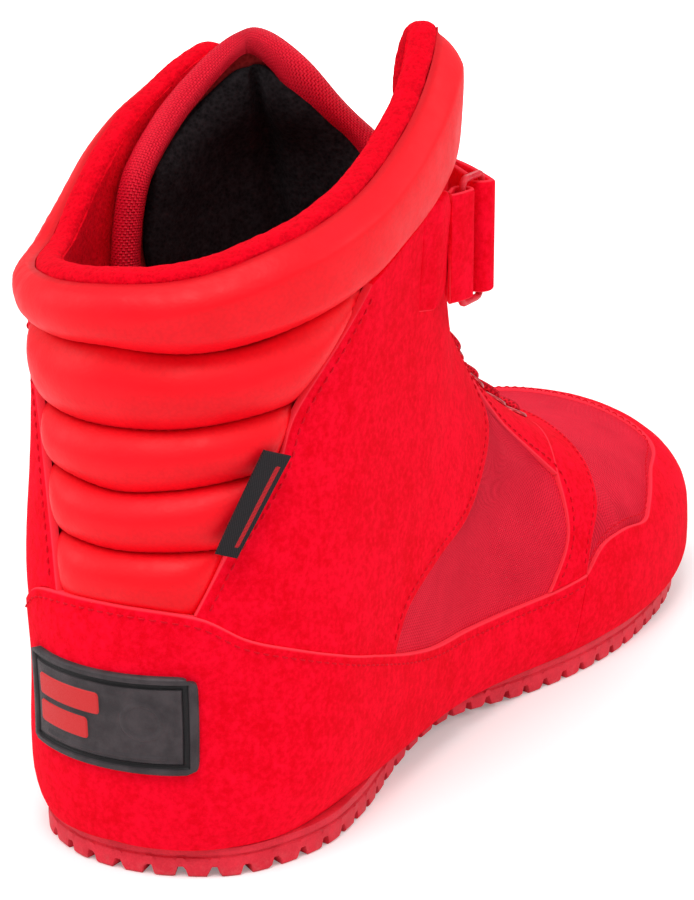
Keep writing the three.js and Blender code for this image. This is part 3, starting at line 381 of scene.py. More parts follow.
class Patch:
    """A part of the outer surface bounded by four curves, with distances to its edges in mm."""

    def __init__(self, bottom, top, left=None, right=None, step=STEP, edge=0.9, inset=SEAM):
        dense = np.linspace(0, 1, 161)
        low, high = at_shares(bottom, dense), at_shares(top, dense)
        start = at_shares(left if left is not None else np.array([low[0], high[0]]), dense)
        end = at_shares(right if right is not None else np.array([low[-1], high[-1]]), dense)
        start = self.pinned(start, low[0], high[0], dense)
        end = self.pinned(end, low[-1], high[-1], dense)
        wide = [run_length(surface(c[:, 0], c[:, 1]))[-1] for c in (low, high)]
        tall = [run_length(surface(c[:, 0], c[:, 1]))[-1] for c in (start, end)]
        u = spread(max(wide), step, edge)
        v = spread(max(max(tall), 4 * edge), step, edge)
        side_inset, row_inset = inset if isinstance(inset, tuple) else (inset, inset)
        margin_u, margin_v = side_inset / min(wide), row_inset / max(8, min(tall))
        self.u, self.v = np.meshgrid(u, v)
        uu = margin_u + self.u * (1 - 2 * margin_u)
        vv = margin_v + self.v * (1 - 2 * margin_v)
        low_at, high_at = self.picked(low, uu, dense), self.picked(high, uu, dense)
        start_at, end_at = self.picked(start, vv, dense), self.picked(end, vv, dense)
        uu, vv = uu[..., None], vv[..., None]
        corners = (1 - vv) * ((1 - uu) * low[0] + uu * low[-1]) + vv * ((1 - uu) * high[0] + uu * high[-1])
        self.places = (1 - vv) * low_at + vv * high_at + (1 - uu) * start_at + uu * end_at - corners
        self.flat = lifted(self.places, np.zeros(self.u.shape))
        across = np.linalg.norm(np.diff(self.flat, axis=1), axis=-1)
        up = np.linalg.norm(np.diff(self.flat, axis=0), axis=-1)
        zero_col, zero_row = np.zeros((self.u.shape[0], 1)), np.zeros((1, self.u.shape[1]))
        self.from_left = np.hstack([zero_col, np.cumsum(across, 1)])
        self.from_right = self.from_left[:, -1:] - self.from_left
        self.from_bottom = np.vstack([zero_row, np.cumsum(up, 0)])
        self.from_top = self.from_bottom[-1:] - self.from_bottom
        self.edge = np.minimum.reduce([self.from_left, self.from_right, self.from_bottom, self.from_top])
        self.s = self.places[..., 0]

    @staticmethod
    def picked(curve, at, t):
        """Places on a curve, which runs straight on past its ends."""
        before, after = np.minimum(at, 0)[..., None], np.maximum(at - 1, 0)[..., None]
        start_slope, end_slope = (curve[8] - curve[0]) / t[8], (curve[-1] - curve[-9]) / (1 - t[-9])
        return sampled(curve, at, t) + before * start_slope + after * end_slope

    @staticmethod
    def pinned(curve, start, end, t):
        t = t[:, None]
        return curve + (1 - t) * (start - curve[0]) + t * (end - curve[-1])

    def rounding(self, radius):
        d = np.clip(self.edge, 0, radius)
        return radius - np.sqrt(np.maximum(radius ** 2 - (radius - d) ** 2, 0))

    def solid(self, name, material, outer, inner, radius=0.7, body="boot", sharp=50):
        top = lifted(self.places, outer - self.rounding(radius))
        bottom = lifted(self.places, inner + np.zeros(self.u.shape))
        for layer in (top, bottom):
            layer[..., 2] = np.maximum(layer[..., 2], sole_top(layer[..., 1]) + 0.1)
        uv = np.stack([self.from_left, self.from_bottom], -1).reshape(-1, 2)
        return build(
            name,
            np.vstack([top.reshape(-1, 3), bottom.reshape(-1, 3)]),
            slab_faces(*self.u.shape),
            material,
            body,
            np.vstack([uv, uv]),
            sharp,
        )


def ripple(points, scale, seed=0.0):
    """Smooth noise between -1 and 1 at points in mm."""
    flat = points.reshape(-1, 3) / scale + seed
    return np.array([noise.noise(Vector(p)) for p in flat]).reshape(points.shape[:-1])


def tube(points, radius, sides=10, closed=False, squash=1.0, up=None):
    """Vertices and faces of a round cord through points in mm."""
    p = np.asarray(points, float)
    if closed:
        t = unit(np.roll(p, -1, 0) - np.roll(p, 1, 0))
    else:
        t = unit(np.gradient(p, axis=0))
    if up is None:
        n = np.cross(t[0], (0.3, 0.2, 1.0))
        normals = [n / np.linalg.norm(n)]
        for k in range(1, len(p)):
            n = normals[-1] - t[k] * (normals[-1] @ t[k])
            normals.append(n / np.linalg.norm(n))
        n = np.array(normals)
    else:
        n = unit(up - t * (up * t).sum(-1, keepdims=True))
    b = np.cross(t, n)
    angle = np.linspace(0, 2 * math.pi, sides, endpoint=False)
    r = np.broadcast_to(np.asarray(radius, float), (len(p),))[:, None, None]
    ring = n[:, None] * np.cos(angle)[None, :, None] * squash + b[:, None] * np.sin(angle)[None, :, None]
    verts = (p[:, None] + r * ring).reshape(-1, 3)
    return verts, (loop_faces if closed else cord_faces)(len(p), sides)


class Bundle:
    """Many small closed forms gathered into one object."""

    def __init__(self):
        self.verts, self.faces, self.count = [], [], 0

    def add(self, verts, faces):
        self.faces += [tuple(i + self.count for i in f) for f in faces]
        self.verts.append(verts)
        self.count += len(verts)

    def make(self, name, material, body="boot", sharp=60):
        return build(name, np.vstack(self.verts), self.faces, material, body, sharp=sharp)


# ---------------------------------------------------------------- stitching
STITCH_PITCH, STITCH_LENGTH, STITCH_RADIUS = 2.8, 2.0, 0.24


def stitch_row(bundle, points, normals, pitch=STITCH_PITCH, length=STITCH_LENGTH, radius=STITCH_RADIUS):
    """Thread stitches along a line of points, each a short arched bead that dips into the surface."""
    run = run_length(points)
    count = max(1, int(run[-1] / pitch))
    centres = (np.arange(count) + 0.5) * run[-1] / count
    share = np.linspace(-1, 1, 5)
    lift = 0.30 - 0.62 * share ** 2
    thick = np.array([0.55, 1, 1.05, 1, 0.55])
    for c in centres:
        up = sampled(normals, c, run)
        spine = sampled(points, c + share * length / 2, run) + up * (lift * 0.75)[:, None]
        bundle.add(*tube(spine, radius * thick, 6, up=np.broadcast_to(up, spine.shape)))


def seam_line(curve, depth, aside=0.0, trim=1.5):
    """Points and normals along a curve on the surface, moved sideways on it by aside mm."""
    places = at_shares(curve, np.linspace(0, 1, max(12, int(len(curve) * 1.5))))
    p = lifted(places, np.zeros(len(places)) + depth)
    n = outward(places[:, 0], places[:, 1])
    side = np.cross(n, unit(np.gradient(p, axis=0)))
    moved = p + side * aside
    run = run_length(moved)
    keep = (run > trim) & (run < run[-1] - trim)
    return moved[keep], n[keep]


# ---------------------------------------------------------------- materials
def srgb(r, g, b):
    linear = [c / 255 / 12.92 if c <= 10 else ((c / 255 + 0.055) / 1.055) ** 2.4 for c in (r, g, b)]
    return (*linear, 1.0)


class Finish:
    """A material built node by node. mm is the place on the object in millimetres, along the piece's own
    woven direction as (across, along) millimetres."""

    def __init__(self, name, roughness, specular=0.4, **inputs):
        self.material = bpy.data.materials.new(name)
        self.material.use_nodes = True
        self.tree = self.material.node_tree
        self.shader = self.tree.nodes["Principled BSDF"]
        self.set(self.shader, {"Roughness": roughness, "Specular IOR Level": specular, **inputs})
        spot = self.node("ShaderNodeTexCoord")
        scaled = self.node("ShaderNodeVectorMath", {0: spot.outputs["Object"], 3: 1 / MM}, operation="SCALE")
        self.mm = scaled.outputs[0]
        split = self.node("ShaderNodeSeparateXYZ", {0: spot.outputs["UV"]})
        self.across, self.along = split.outputs[0], split.outputs[1]

    def set(self, node, inputs):
        for key, value in inputs.items():
            if isinstance(value, bpy.types.NodeSocket):
                self.tree.links.new(value, node.inputs[key])
            else:
                node.inputs[key].default_value = value

    def node(self, kind, inputs=None, **settings):
        node = self.tree.nodes.new(kind)
        for key, value in settings.items():
            setattr(node, key, value)
        self.set(node, inputs or {})
        return node

    def math(self, operation, a, b=0.0, c=0.0):
        return self.node("ShaderNodeMath", {0: a, 1: b, 2: c}, operation=operation).outputs[0]

    def blend(self, *parts):
        """Sum of node values, each with its weight."""
        total = 0.0
        for value, weight in parts:
            total = self.math("MULTIPLY_ADD", value, weight, total)
        return total

    def remap(self, value, low, high, to_low=0.0, to_high=1.0):
        wanted = {"Value": value, "From Min": low, "From Max": high, "To Min": to_low, "To Max": to_high}
        return self.node("ShaderNodeMapRange", wanted, interpolation_type="SMOOTHSTEP").outputs[0]

    def noise(self, size, detail=2.0, rough=0.55, stretch=None):
        """Noise between 0 and 1 with features of a size in mm."""
        at = self.mm
        if stretch:
            at = self.node("ShaderNodeVectorMath", {0: at, 1: stretch}, operation="MULTIPLY").outputs[0]
        wanted = {"Vector": at, "Scale": 1 / size, "Detail": detail, "Roughness": rough}
        return self.node("ShaderNodeTexNoise", wanted).outputs["Fac"]

    def cells(self, size, feature="F1"):
        wanted = {"Vector": self.mm, "Scale": 1 / size}
        return self.node("ShaderNodeTexVoronoi", wanted, feature=feature).outputs["Distance"]

    def wave(self, value, pitch, shift=0.0):
        turned = self.math("MULTIPLY_ADD", value, 2 * math.pi / pitch, shift)
        return self.math("SINE", turned)

    def mix(self, factor, a, b):
        node = self.node("ShaderNodeMix", data_type="RGBA")
        self.set(node, {0: factor, 6: a, 7: b})
        return node.outputs[2]

    def mark(self, name):
        return self.node("ShaderNodeAttribute", attribute_name=name).outputs["Fac"]

    def done(self, colour, *relief, **inputs):
        """The material; relief has a height, its depth in mm and its strength for each layer of bumps."""
        normal = {}
        for height, depth_mm, strength in relief:
            wanted = {"Height": height, "Distance": depth_mm * MM, "Strength": strength, **normal}
            normal = {"Normal": self.node("ShaderNodeBump", wanted).outputs[0]}
        self.set(self.shader, {"Base Color": colour, **inputs, **normal})
        return self.material


def suede_finish(name, dark, light, edge):
    sheen = {"Sheen Weight": 0.12, "Sheen Roughness": 0.45, "Sheen Tint": srgb(255, 40, 70)}
    f = Finish(name, 0.95, 0.06, **sheen)
    nap = f.noise(0.55, 3, 0.65)
    tufts = f.noise(1.6, 3, 0.65)
    brushed = f.noise(5.0, 3, 0.6, stretch=(1.0, 1.0, 0.8))
    patches = f.noise(28.0, 2)
    tone = f.blend((tufts, 0.6), (brushed, 0.35), (patches, 0.25))
    colour = f.mix(f.remap(tone, 0.42, 0.78), dark, light)
    fuzz = f.noise(0.22, 2, 0.7)
    raw = f.remap(f.mark("rim"), 0.25, 0.85)
    colour = f.mix(raw, colour, edge)
    return f.done(colour, (nap, 0.16, 0.8), (fuzz, 0.08, 0.7), (brushed, 0.25, 0.2))


def padded_finish():
    f = Finish("padded_cover", 0.5, 0.22)
    grain = f.cells(0.9, "SMOOTH_F1")
    pores = f.noise(0.35, 2, 0.6)
    clouds = f.noise(16.0, 2)
    creases = f.noise(3.2, 3, 0.6)
    colour = f.mix(f.remap(clouds, 0.3, 0.75), srgb(247, 2, 24), srgb(255, 8, 30))
    colour = f.mix(f.math("MULTIPLY", f.remap(grain, 0.25, 0.7), 0.25), colour, srgb(226, 2, 22))
    # Painted shade: the cover's colour is darkened to deep red in the sewn channels between the puffs.
    colour = f.mix(f.math("MULTIPLY", f.remap(f.mark("painted_crease_shade"), 0.0, 1.0), 0.8), colour, srgb(192, 0, 18))
    rough = f.remap(f.noise(5.0, 3), 0.25, 0.75, 0.44, 0.56)
    return f.done(colour, (grain, 0.07, 0.55), (pores, 0.03, 0.5), (creases, 0.18, 0.35), Roughness=rough)


def mesh_finish(name, dark, light):
    f = Finish(name, 0.85, 0.1)
    rib = f.math("ABSOLUTE", f.wave(f.across, 2.6))
    knit = f.math("ABSOLUTE", f.wave(f.along, 1.7))
    holes = f.math("MULTIPLY", f.math("GREATER_THAN", rib, 0.55), knit)
    height = f.math("MULTIPLY_ADD", rib, 0.75, f.math("MULTIPLY", knit, 0.35))
    clouds = f.noise(14.0, 3)
    threads = f.noise(0.5, 2, stretch=(1.0, 1.0, 0.3))
    tone = f.blend((height, 0.6), (clouds, 0.5), (threads, 0.25))
    colour = f.mix(f.remap(tone, 0.25, 1.15), dark, light)
    return f.done(colour, (height, 0.3, 0.75), (f.math("ADD", holes, threads), 0.1, 0.5))


def fleece_finish(name, dark, light, sheen):
    f = Finish(name, 1.0, 0.05, **{"Sheen Weight": 0.3, "Sheen Roughness": 0.6, "Sheen Tint": sheen})
    loops = f.cells(1.1)
    fibres = f.noise(0.45, 4, 0.75)
    tufts = f.noise(3.0, 3, 0.6)
    tone = f.blend((fibres, 0.5), (tufts, 0.5), (loops, 0.3))
    colour = f.mix(f.remap(tone, 0.35, 0.95), dark, light)
    return f.done(colour, (fibres, 0.3, 0.85), (loops, 0.35, 0.6), (tufts, 0.6, 0.5))


def woven_finish(name, dark, light, pitch=1.15):
    f = Finish(name, 0.6, 0.2)
    over = f.math("MULTIPLY", f.wave(f.across, 2 * pitch), f.wave(f.along, 2 * pitch))
    warp = f.math("ABSOLUTE", f.wave(f.across, 2 * pitch))
    weft = f.math("ABSOLUTE", f.wave(f.along, 2 * pitch))
    top = f.math("GREATER_THAN", over, 0.0)
    under = f.math("MULTIPLY", f.math("SUBTRACT", 1.0, top), weft)
    height = f.math("MAXIMUM", f.math("MULTIPLY", top, warp), under)
    strands = f.noise(0.3, 2, 0.6)
    tone = f.blend((height, 0.55), (top, 0.22), (strands, 0.35))
    colour = f.mix(f.remap(tone, 0.2, 1.0), dark, light)
    return f.done(colour, (height, 0.28, 0.9), (strands, 0.08, 0.5))


def rubber_finish(name, dark, light, roughness=0.5):
    f = Finish(name, roughness, 0.25)
    stipple = f.noise(0.5, 3, 0.6)
    scuffs = f.noise(9.0, 4, 0.65)
    tone = f.math("MULTIPLY_ADD", scuffs, 0.8, f.math("MULTIPLY", stipple, 0.3))
    colour = f.mix(f.remap(tone, 0.35, 0.8), dark, light)
    low = f.node("ShaderNodeSeparateXYZ", {0: f.mm}).outputs[2]
    dust = f.math("MULTIPLY", f.remap(low, 5.0, 0.0), f.remap(f.noise(2.0, 4), 0.45, 0.7))
    colour = f.mix(f.math("MULTIPLY", dust, 0.15), colour, srgb(215, 140, 140))
    rough = f.remap(scuffs, 0.3, 0.7, roughness - 0.08, roughness + 0.14)
    return f.done(colour, (stipple, 0.08, 0.6), Roughness=rough)


def label_finish():
    f = Finish("label_rubber", 0.55, 0.3)
    stipple = f.noise(0.4, 2, 0.7)
    clouds = f.noise(6.0, 3)
    colour = f.mix(f.remap(clouds, 0.3, 0.7), srgb(46, 40, 43), srgb(66, 58, 61))
    colour = f.mix(f.remap(f.mark("groove"), 0.3, 0.7), colour, srgb(20, 17, 20))
    colour = f.mix(f.remap(f.mark("inked"), 0.4, 0.6), colour, srgb(205, 38, 40))
    rough = f.remap(stipple, 0.3, 0.7, 0.42, 0.62)
    return f.done(colour, (stipple, 0.07, 0.7), Roughness=rough)


def tag_finish():
    f = Finish("tag_weave", 0.75, 0.2)
    slope = f.math("ADD", f.across, f.math("MULTIPLY", f.along, 0.6))
    twill = f.math("ABSOLUTE", f.wave(slope, 1.1))
    weft = f.math("ABSOLUTE", f.wave(f.along, 0.7))
    tone = f.math("MULTIPLY_ADD", twill, 0.6, f.math("MULTIPLY", weft, 0.4))
    colour = f.mix(tone, srgb(12, 10, 12), srgb(46, 42, 45))
    stripe = f.math("MULTIPLY", f.remap(f.mark("stripe"), 0.4, 0.6), f.math("GREATER_THAN", weft, 0.35))
    colour = f.mix(stripe, colour, srgb(196, 30, 40))
    return f.done(colour, (tone, 0.12, 0.8))


def thread_finish(name, colour_a, colour_b):
    f = Finish(name, 0.7, 0.12)
    twist = f.noise(0.25, 2, 0.6)
    return f.done(f.mix(twist, colour_a, colour_b), (twist, 0.06, 0.8))


def braid_finish():
    f = Finish("lace_braid", 0.75, 0.15)
    one = f.math("ADD", f.across, f.along)
    two = f.math("SUBTRACT", f.across, f.along)
    plait = f.math("MAXIMUM", f.wave(one, 1.6), f.wave(two, 1.6))
    fibres = f.noise(0.3, 2)
    tone = f.math("MULTIPLY_ADD", plait, 0.4, f.math("MULTIPLY", fibres, 0.5))
    colour = f.mix(f.remap(tone, 0.0, 0.7), srgb(176, 0, 24), srgb(240, 18, 46))
    return f.done(colour, (plait, 0.16, 0.8))


def metal_finish():
    f = Finish("eyelet_metal", 0.3, 0.5, **{"Coat Weight": 0.4, "Coat Roughness": 0.15, "Metallic": 0.55})
    chips = f.noise(0.8, 3, 0.7)
    colour = f.mix(f.remap(chips, 0.62, 0.72), srgb(190, 16, 34), srgb(150, 120, 118))
    return f.done(colour, (chips, 0.03, 0.4))


def foam_finish(name, dark, light):
    f = Finish(name, 0.95, 0.1)
    open_cells = f.cells(1.0)
    return f.done(f.mix(open_cells, dark, light), (open_cells, 0.3, 0.8))


SUEDE = suede_finish("suede", srgb(230, 0, 22), srgb(255, 8, 44), srgb(255, 58, 76))
PADDED = padded_finish()
NET = mesh_finish("side_mesh", srgb(196, 8, 38), srgb(240, 36, 62))
RED_FLEECE = fleece_finish("red_fleece", srgb(206, 0, 20), srgb(254, 4, 34), srgb(255, 50, 70))
BLACK_FLEECE = fleece_finish("black_fleece", srgb(12, 10, 11), srgb(44, 40, 42), srgb(54, 50, 54))
WOVEN = woven_finish("woven_nylon", srgb(196, 0, 32), srgb(248, 20, 58))
TAPE = woven_finish("binding_tape", srgb(206, 0, 32), srgb(246, 14, 50), 0.75)
SOLE_RUBBER = rubber_finish("sole_rubber", srgb(208, 24, 46), srgb(238, 48, 68))
LABEL = label_finish()
TAG = tag_finish()
THREAD = thread_finish("thread", srgb(190, 0, 24), srgb(236, 6, 38))
BRAID = braid_finish()
WIRE = rubber_finish("coated_wire", srgb(214, 20, 44), srgb(240, 60, 74), 0.35)
EYELET = metal_finish()
FOAM = foam_finish("padding_foam", srgb(120, 20, 24), srgb(170, 46, 46))
SOLE_FOAM = foam_finish("sole_foam", srgb(140, 30, 40), srgb(190, 60, 70))
BOARD = foam_finish("stiffener_board", srgb(120, 96, 62), srgb(176, 148, 106))


def dress(obj, slot, *nodes):
    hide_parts(*nodes)
    return obj


# ---------------------------------------------------------------- seam lines of the outer side
TOE_CORNER = (49, 181, 31.5)
THROAT = (9, 206, 66)
FOXING_SIDE = [
    TOE_CORNER, (46, 164, 30), (41.6, 139, 31.2), (40, 120, 33), (40, 100, 35.5), (41, 80, 40.6),
    (43, 48, 51.7), (39, 29, 58.8), (32, 16, 64.4), (22.5, 7.4, 71.5),
]
FOXING_BACK = (0, 1, 73.8)
REAR_SEAM = [(22.5, 7.4, 71.5), (28.5, 14, 87), (35.5, 25, 105.5), (38.7, 31, 121), (46, 53, 147)]
QUARTER_FRONT = [
    (41, 72, 43), (41.5, 80, 54), (39, 99, 61.5), (37, 117, 65.6), (34, 133, 74), (28, 148, 84),
    (25.5, 147, 96), (24.5, 138, 112), (25, 132, 128),
]
COLLAR_OPENING = [(25.5, 128, 146), (26.5, 125, 160), (28, 122, 173)]
OPENING_EDGE = [THROAT, (10.5, 192, 75), (12, 172, 90), (13, 157, 103), (13.5, 148, 113), (15, 141, 128)]
RIM_SIDE = [
    (0, -2.5, 152), (24, 7, 155), (38, 20, 160), (45, 38, 166), (48, 58, 174), (47.5, 76, 184), (43, 90, 195),
    (35, 99, 203),
]
REAR_SEAM_INNER = [(15.5, 4, 72.8), (19, 6.5, 87), (23.5, 11, 103), (28, 15.5, 117), (36, 24, 138)]
RIM_INNER = [
    (0, -2.5, 152), (24, 7, 150.5), (36, 20, 149), (43.5, 38, 149.5), (46, 47.5, 153.5), (47, 57, 160.5),
    (47, 67, 169), (46.3, 79, 176.5), (44.5, 91, 182), (41.5, 100.5, 187.5), (36, 110, 192),
]
COLLAR_SEAM_INNER = [
    (36, 24, 138), (43, 40, 138), (45.5, 56, 140), (46.3, 72, 145), (45.5, 85, 151), (42, 99, 158),
    (36.5, 111, 163.5), (29, 121, 168),
]
COLLAR_OPENING_INNER = [(25.5, 128, 146), (26.5, 125, 158), (29, 121, 168)]
COLLAR_END = [(28, 122, 173), (27.5, 120, 185), (30, 113, 197), (35, 99, 203)]
COLLAR_END_INNER = [(29, 121, 168), (28.5, 119.5, 178), (31, 115, 187.5), (36, 110, 192)]
COLLAR_SEAM_SIDE = [
    (46, 53, 147), (46.5, 63, 151), (46, 80, 157), (43, 98, 164), (37, 112, 169), (28, 122, 173),
]
BAND_REAR = [(46, 164, 30), (46, 174, 44), (39, 178, 60), (34, 184, 66), (24, 194, 67), THROAT]
BAND_FRONT = [TOE_CORNER, (48, 185, 41), (46, 192, 48), (40, 199, 56), (29.5, 208, 62), (14, 222, 62.5)]
CAP_EDGE = [
    TOE_CORNER, (49.5, 190, 38), (51, 204, 39), (52, 218, 37.5), (50, 226, 41), (44, 240, 45.6),
    (35, 261, 48),
]
CAP_FRONT = [(12, 267, 54.5), (-12, 268, 56)]
CAP_START = 174

# ---------------------------------------------------------------- suede and mesh skins
threads = Bundle()


def rim_mark(patch, sides, width=0.9):
    """1 along chosen edges of a patch and 0 from width mm inside them: a cut, unpainted edge."""
    parts = {side: getattr(patch, "from_" + side) for side in ("left", "right", "bottom", "top")}
    d = np.min([parts[s] for s in sides], axis=0)
    return np.clip(1 - d / width, 0, 1)


def mark(obj, name, upper, lower=()):
    """A value for each point of a piece: those of its upper layer, then those of its lower one."""
    layer = obj.data.attributes.new(name, "FLOAT", "POINT")
    layer.data.foreach_set("value", np.concatenate([np.ravel(upper), np.ravel(lower)]).astype(np.float32))


def skin(name, patch, material, outer, inner, raw=(), radius=0.45, slot="suede", node=None):
    """A sewn panel with rounded edges, some of them raw."""
    wobble = ripple(patch.flat, 21.0, 3.0) * 0.22 + ripple(patch.flat, 6.5, 9.0) * 0.09
    obj = patch.solid(name, material, outer + wobble * np.clip(patch.edge / 5, 0, 1), inner, radius)
    if raw:
        rim = rim_mark(patch, raw)
        mark(obj, "rim", rim, rim)
    return dress(obj, slot, node or name)


def sewn_suede(name, patch, face, raw, seams, back=-1.6):
    """A suede panel with raw edges and rows of stitches some mm beside its seams."""
    skin(name, patch, SUEDE, face, back, raw, 0.4)
    for seam, aside in seams:
        stitch_row(threads, *seam_line(seam, face, aside))


foxing_top = round_back(both_sides(FOXING_SIDE, [FOXING_BACK]))
sewn_suede("heel_foxing", Patch(around_heel(CAP_START), foxing_top), 1.15, ["top"], [(foxing_top, 2.7)])

cap_top = along_side(both_sides(CAP_EDGE, CAP_FRONT))
sewn_suede("toe_cap", Patch(around_toe(CAP_START), cap_top), 1.0, ["top"], [(cap_top, 2.4)])

band_front = along_side(both_sides(BAND_FRONT, [(0, 229, 62)]))
band_rear = along_side(both_sides(BAND_REAR, [(0, 209, 66)]))
sewn_suede("front_band", Patch(band_front, band_rear), 0.7, ["top", "bottom"], [(band_front, 2.2)])

mesh_front = along_side(both_sides([(49.3, 184.5, 34.3), (50, 192, 38.4), *CAP_EDGE[2:]], CAP_FRONT))
mesh_rear = along_side(both_sides([(48.7, 183, 36.3), (47.8, 186, 42), *BAND_FRONT[2:]], [(0, 229, 62)]))
toe_net = Patch(mesh_front, mesh_rear, inset=(-7.0, -2.6))
skin("toe_mesh", toe_net, NET, -0.25, -1.9, slot="side_mesh")


EYELET_EDGE = 6.5  # mm from the edge of the opening to the middle of an eyelet


def eyelet_places(sign):
    edge = at_shares(along_side(OPENING_EDGE), np.arange(1, 10, 2) / 10)
    s, a = edge[:, 0], edge[:, 1]
    turn = 0.01
    mm_per_turn = np.linalg.norm(surface(s, a + turn) - surface(s, a), axis=-1) / turn
    return np.stack([s, sign * (a + EYELET_EDGE / mm_per_turn)], -1)


def side_panels(side, sign):
    stay = Patch(
        one_side([(39, 178, 60), (34, 184, 66), (24, 194, 67), THROAT], sign),
        chord([(25, 132, 128), (15, 141, 128)], sign),
        one_side([(39, 178, 60), (33, 169, 70), (28, 158, 80), *QUARTER_FRONT[6:]], sign),
        one_side(OPENING_EDGE, sign),
    )
    stay_rear = one_side([*BAND_REAR[:3], (33, 169, 70), (28, 158, 80), *QUARTER_FRONT[6:]], sign)
    stay_seams = [(one_side(OPENING_EDGE, sign), 2.2 * sign), (stay_rear, -2.2 * sign)]
    sewn_suede(f"eyestay_{side}", stay, 0.7, ["left", "right", "top"], stay_seams)
    net = Patch(
        one_side([(41, 73, 42.5), (40, 100, 35.5), (40, 120, 33), (41.6, 139, 31.2), (46, 163, 30)], sign),
        chord([(27.5, 149, 86), (27.5, 156, 82)], sign),
        one_side(QUARTER_FRONT[:6], sign),
        one_side([(46, 163, 30), (46, 174, 44), (39, 178, 60), (33, 169, 70), (27.5, 157, 82)], sign),
        inset=-2.8,
    )
    folds = np.sin(net.from_right / 3.9 + 0.6 * np.sin(net.from_bottom / 9))
    folds = folds * np.exp(-((net.from_right - 12) / 14) ** 2)
    folds = folds * np.clip(net.edge / 8, 0, 1) * 0.55
    skin(f"mesh_panel_{side}", net, NET, -0.3 + folds, -2.0, slot="side_mesh")
    outer = side == "outer"
    quarter_front = one_side([*QUARTER_FRONT, *(COLLAR_OPENING if outer else COLLAR_OPENING_INNER)], sign)
    rear = one_side(REAR_SEAM if outer else REAR_SEAM_INNER, sign)
    foot = [] if outer else [(15.5, 4, 72.8)]
    quarter = Patch(
        one_side([*foot, *FOXING_SIDE[:5:-1], (41, 72, 43)], sign),
        one_side(COLLAR_SEAM_SIDE if outer else COLLAR_SEAM_INNER, sign),
        rear,
        quarter_front,
        inset=-0.4,
    )
    quarter_seams = [(rear, -2.4 * sign), (quarter_front, 2.6 * sign)]
    sewn_suede(f"quarter_{side}", quarter, 0.45, ["left", "right"], quarter_seams, -1.7)
    foam = Patch(
        one_side([(3, 3, 68), (30, 15, 68), (41, 45, 58), (41, 75, 52), (37, 108, 62), (33, 130, 76)], sign),
        one_side([(3, 1, 132), (32, 20, 132), (45, 46, 140), (45, 80, 150), (40, 106, 158)], sign),
        one_side([(3, 3, 68), (3, 5, 100), (3, 1, 132)], sign),
        one_side([(33, 130, 76), (32, 133, 100), (33, 126, 130), (40, 106, 158)], sign),
        step=5.0,
    )
    dress(foam.solid(f"quarter_foam_{side}_pad", FOAM, -3.7, -5.2), "padding_foam", f"quarter_foam_{side}")
    ground = ground_line(HEEL_S, section_at_y(116))
    ground[:, 1] = sign * np.minimum(ground[:, 1], math.pi - 0.004)
    lining = Patch(
        ground,
        one_side([(0.4, -2.4, 152), *(RIM_SIDE if outer else RIM_INNER)[1:]], sign),
        one_side([(0.4, 3.6, 9), (0.4, 0.6, 60), (0.4, 4, 120), (0.4, -2.4, 152)], sign),
        one_side(
            [(36, 114, 9), (38, 115, 64), (33, 136, 80), (29, 140, 97), (27, 134, 118), (29, 127, 140),
             *([(32, 120, 165), (34, 106, 203)] if outer else [(32, 119, 162), (36, 110, 192)])],
            sign,
        ),
    )
    nap = ripple(lining.flat, 1.9) * 0.18 + ripple(lining.flat, 14.0, 5.0) * 0.5
    extra = collar_extra(lining.s)
    soft = lining.solid(f"shaft_lining_{side}", RED_FLEECE, LINING_OUT - extra, LINING_IN - extra + nap)
    dress(soft, "red_fleece", f"shaft_lining_{side}")


side_panels("outer", 1)
side_panels("inner", -1)

fore = Patch(
    around_toe(123),
    along_side(
        both_sides(
            [(37.5, 121, 64), (34, 140, 73), (33, 158, 72), (30, 176, 66), (23, 198, 62), (14, 216, 60)],
            [(0, 222, 60)],
        )
    ),
    step=5.0,
)
dress(fore.solid("forepart_lining", RED_FLEECE, LINING_OUT, LINING_IN), "red_fleece", "forepart_lining")


# ---------------------------------------------------------------- padded heel and collar
FLANGE = 2.4  # mm of each padded panel that lies flat under its neighbour
MOST_RISE = 3.0  # mm a simulated sheet may move
PAINTED_SHADE_REACH = 2.8  # mm above a sewn channel where its painted shade ends
SHEET_UNIT = 10.0  # mm of a sheet that the cloth simulation takes as one unit
START_SHARE = 0.72  # share of the swelling that a sheet is given before the simulation
CHANNEL_THREAD = -2.7  # depth in mm of the stitches in the sewn channels


def pillow(patch, side_reach=8.0):
    """How far a stuffed panel stands out, from 0 at its seams to 1."""
    t = patch.from_bottom / np.maximum(patch.from_bottom + patch.from_top, 1e-6)
    ends = np.clip((np.minimum(patch.from_left, patch.from_right) - FLANGE) / side_reach, 0, 1)
    return np.sqrt(np.maximum(4 * t * (1 - t), 0)) * np.sqrt(np.maximum(1 - (1 - ends) ** 2, 0))


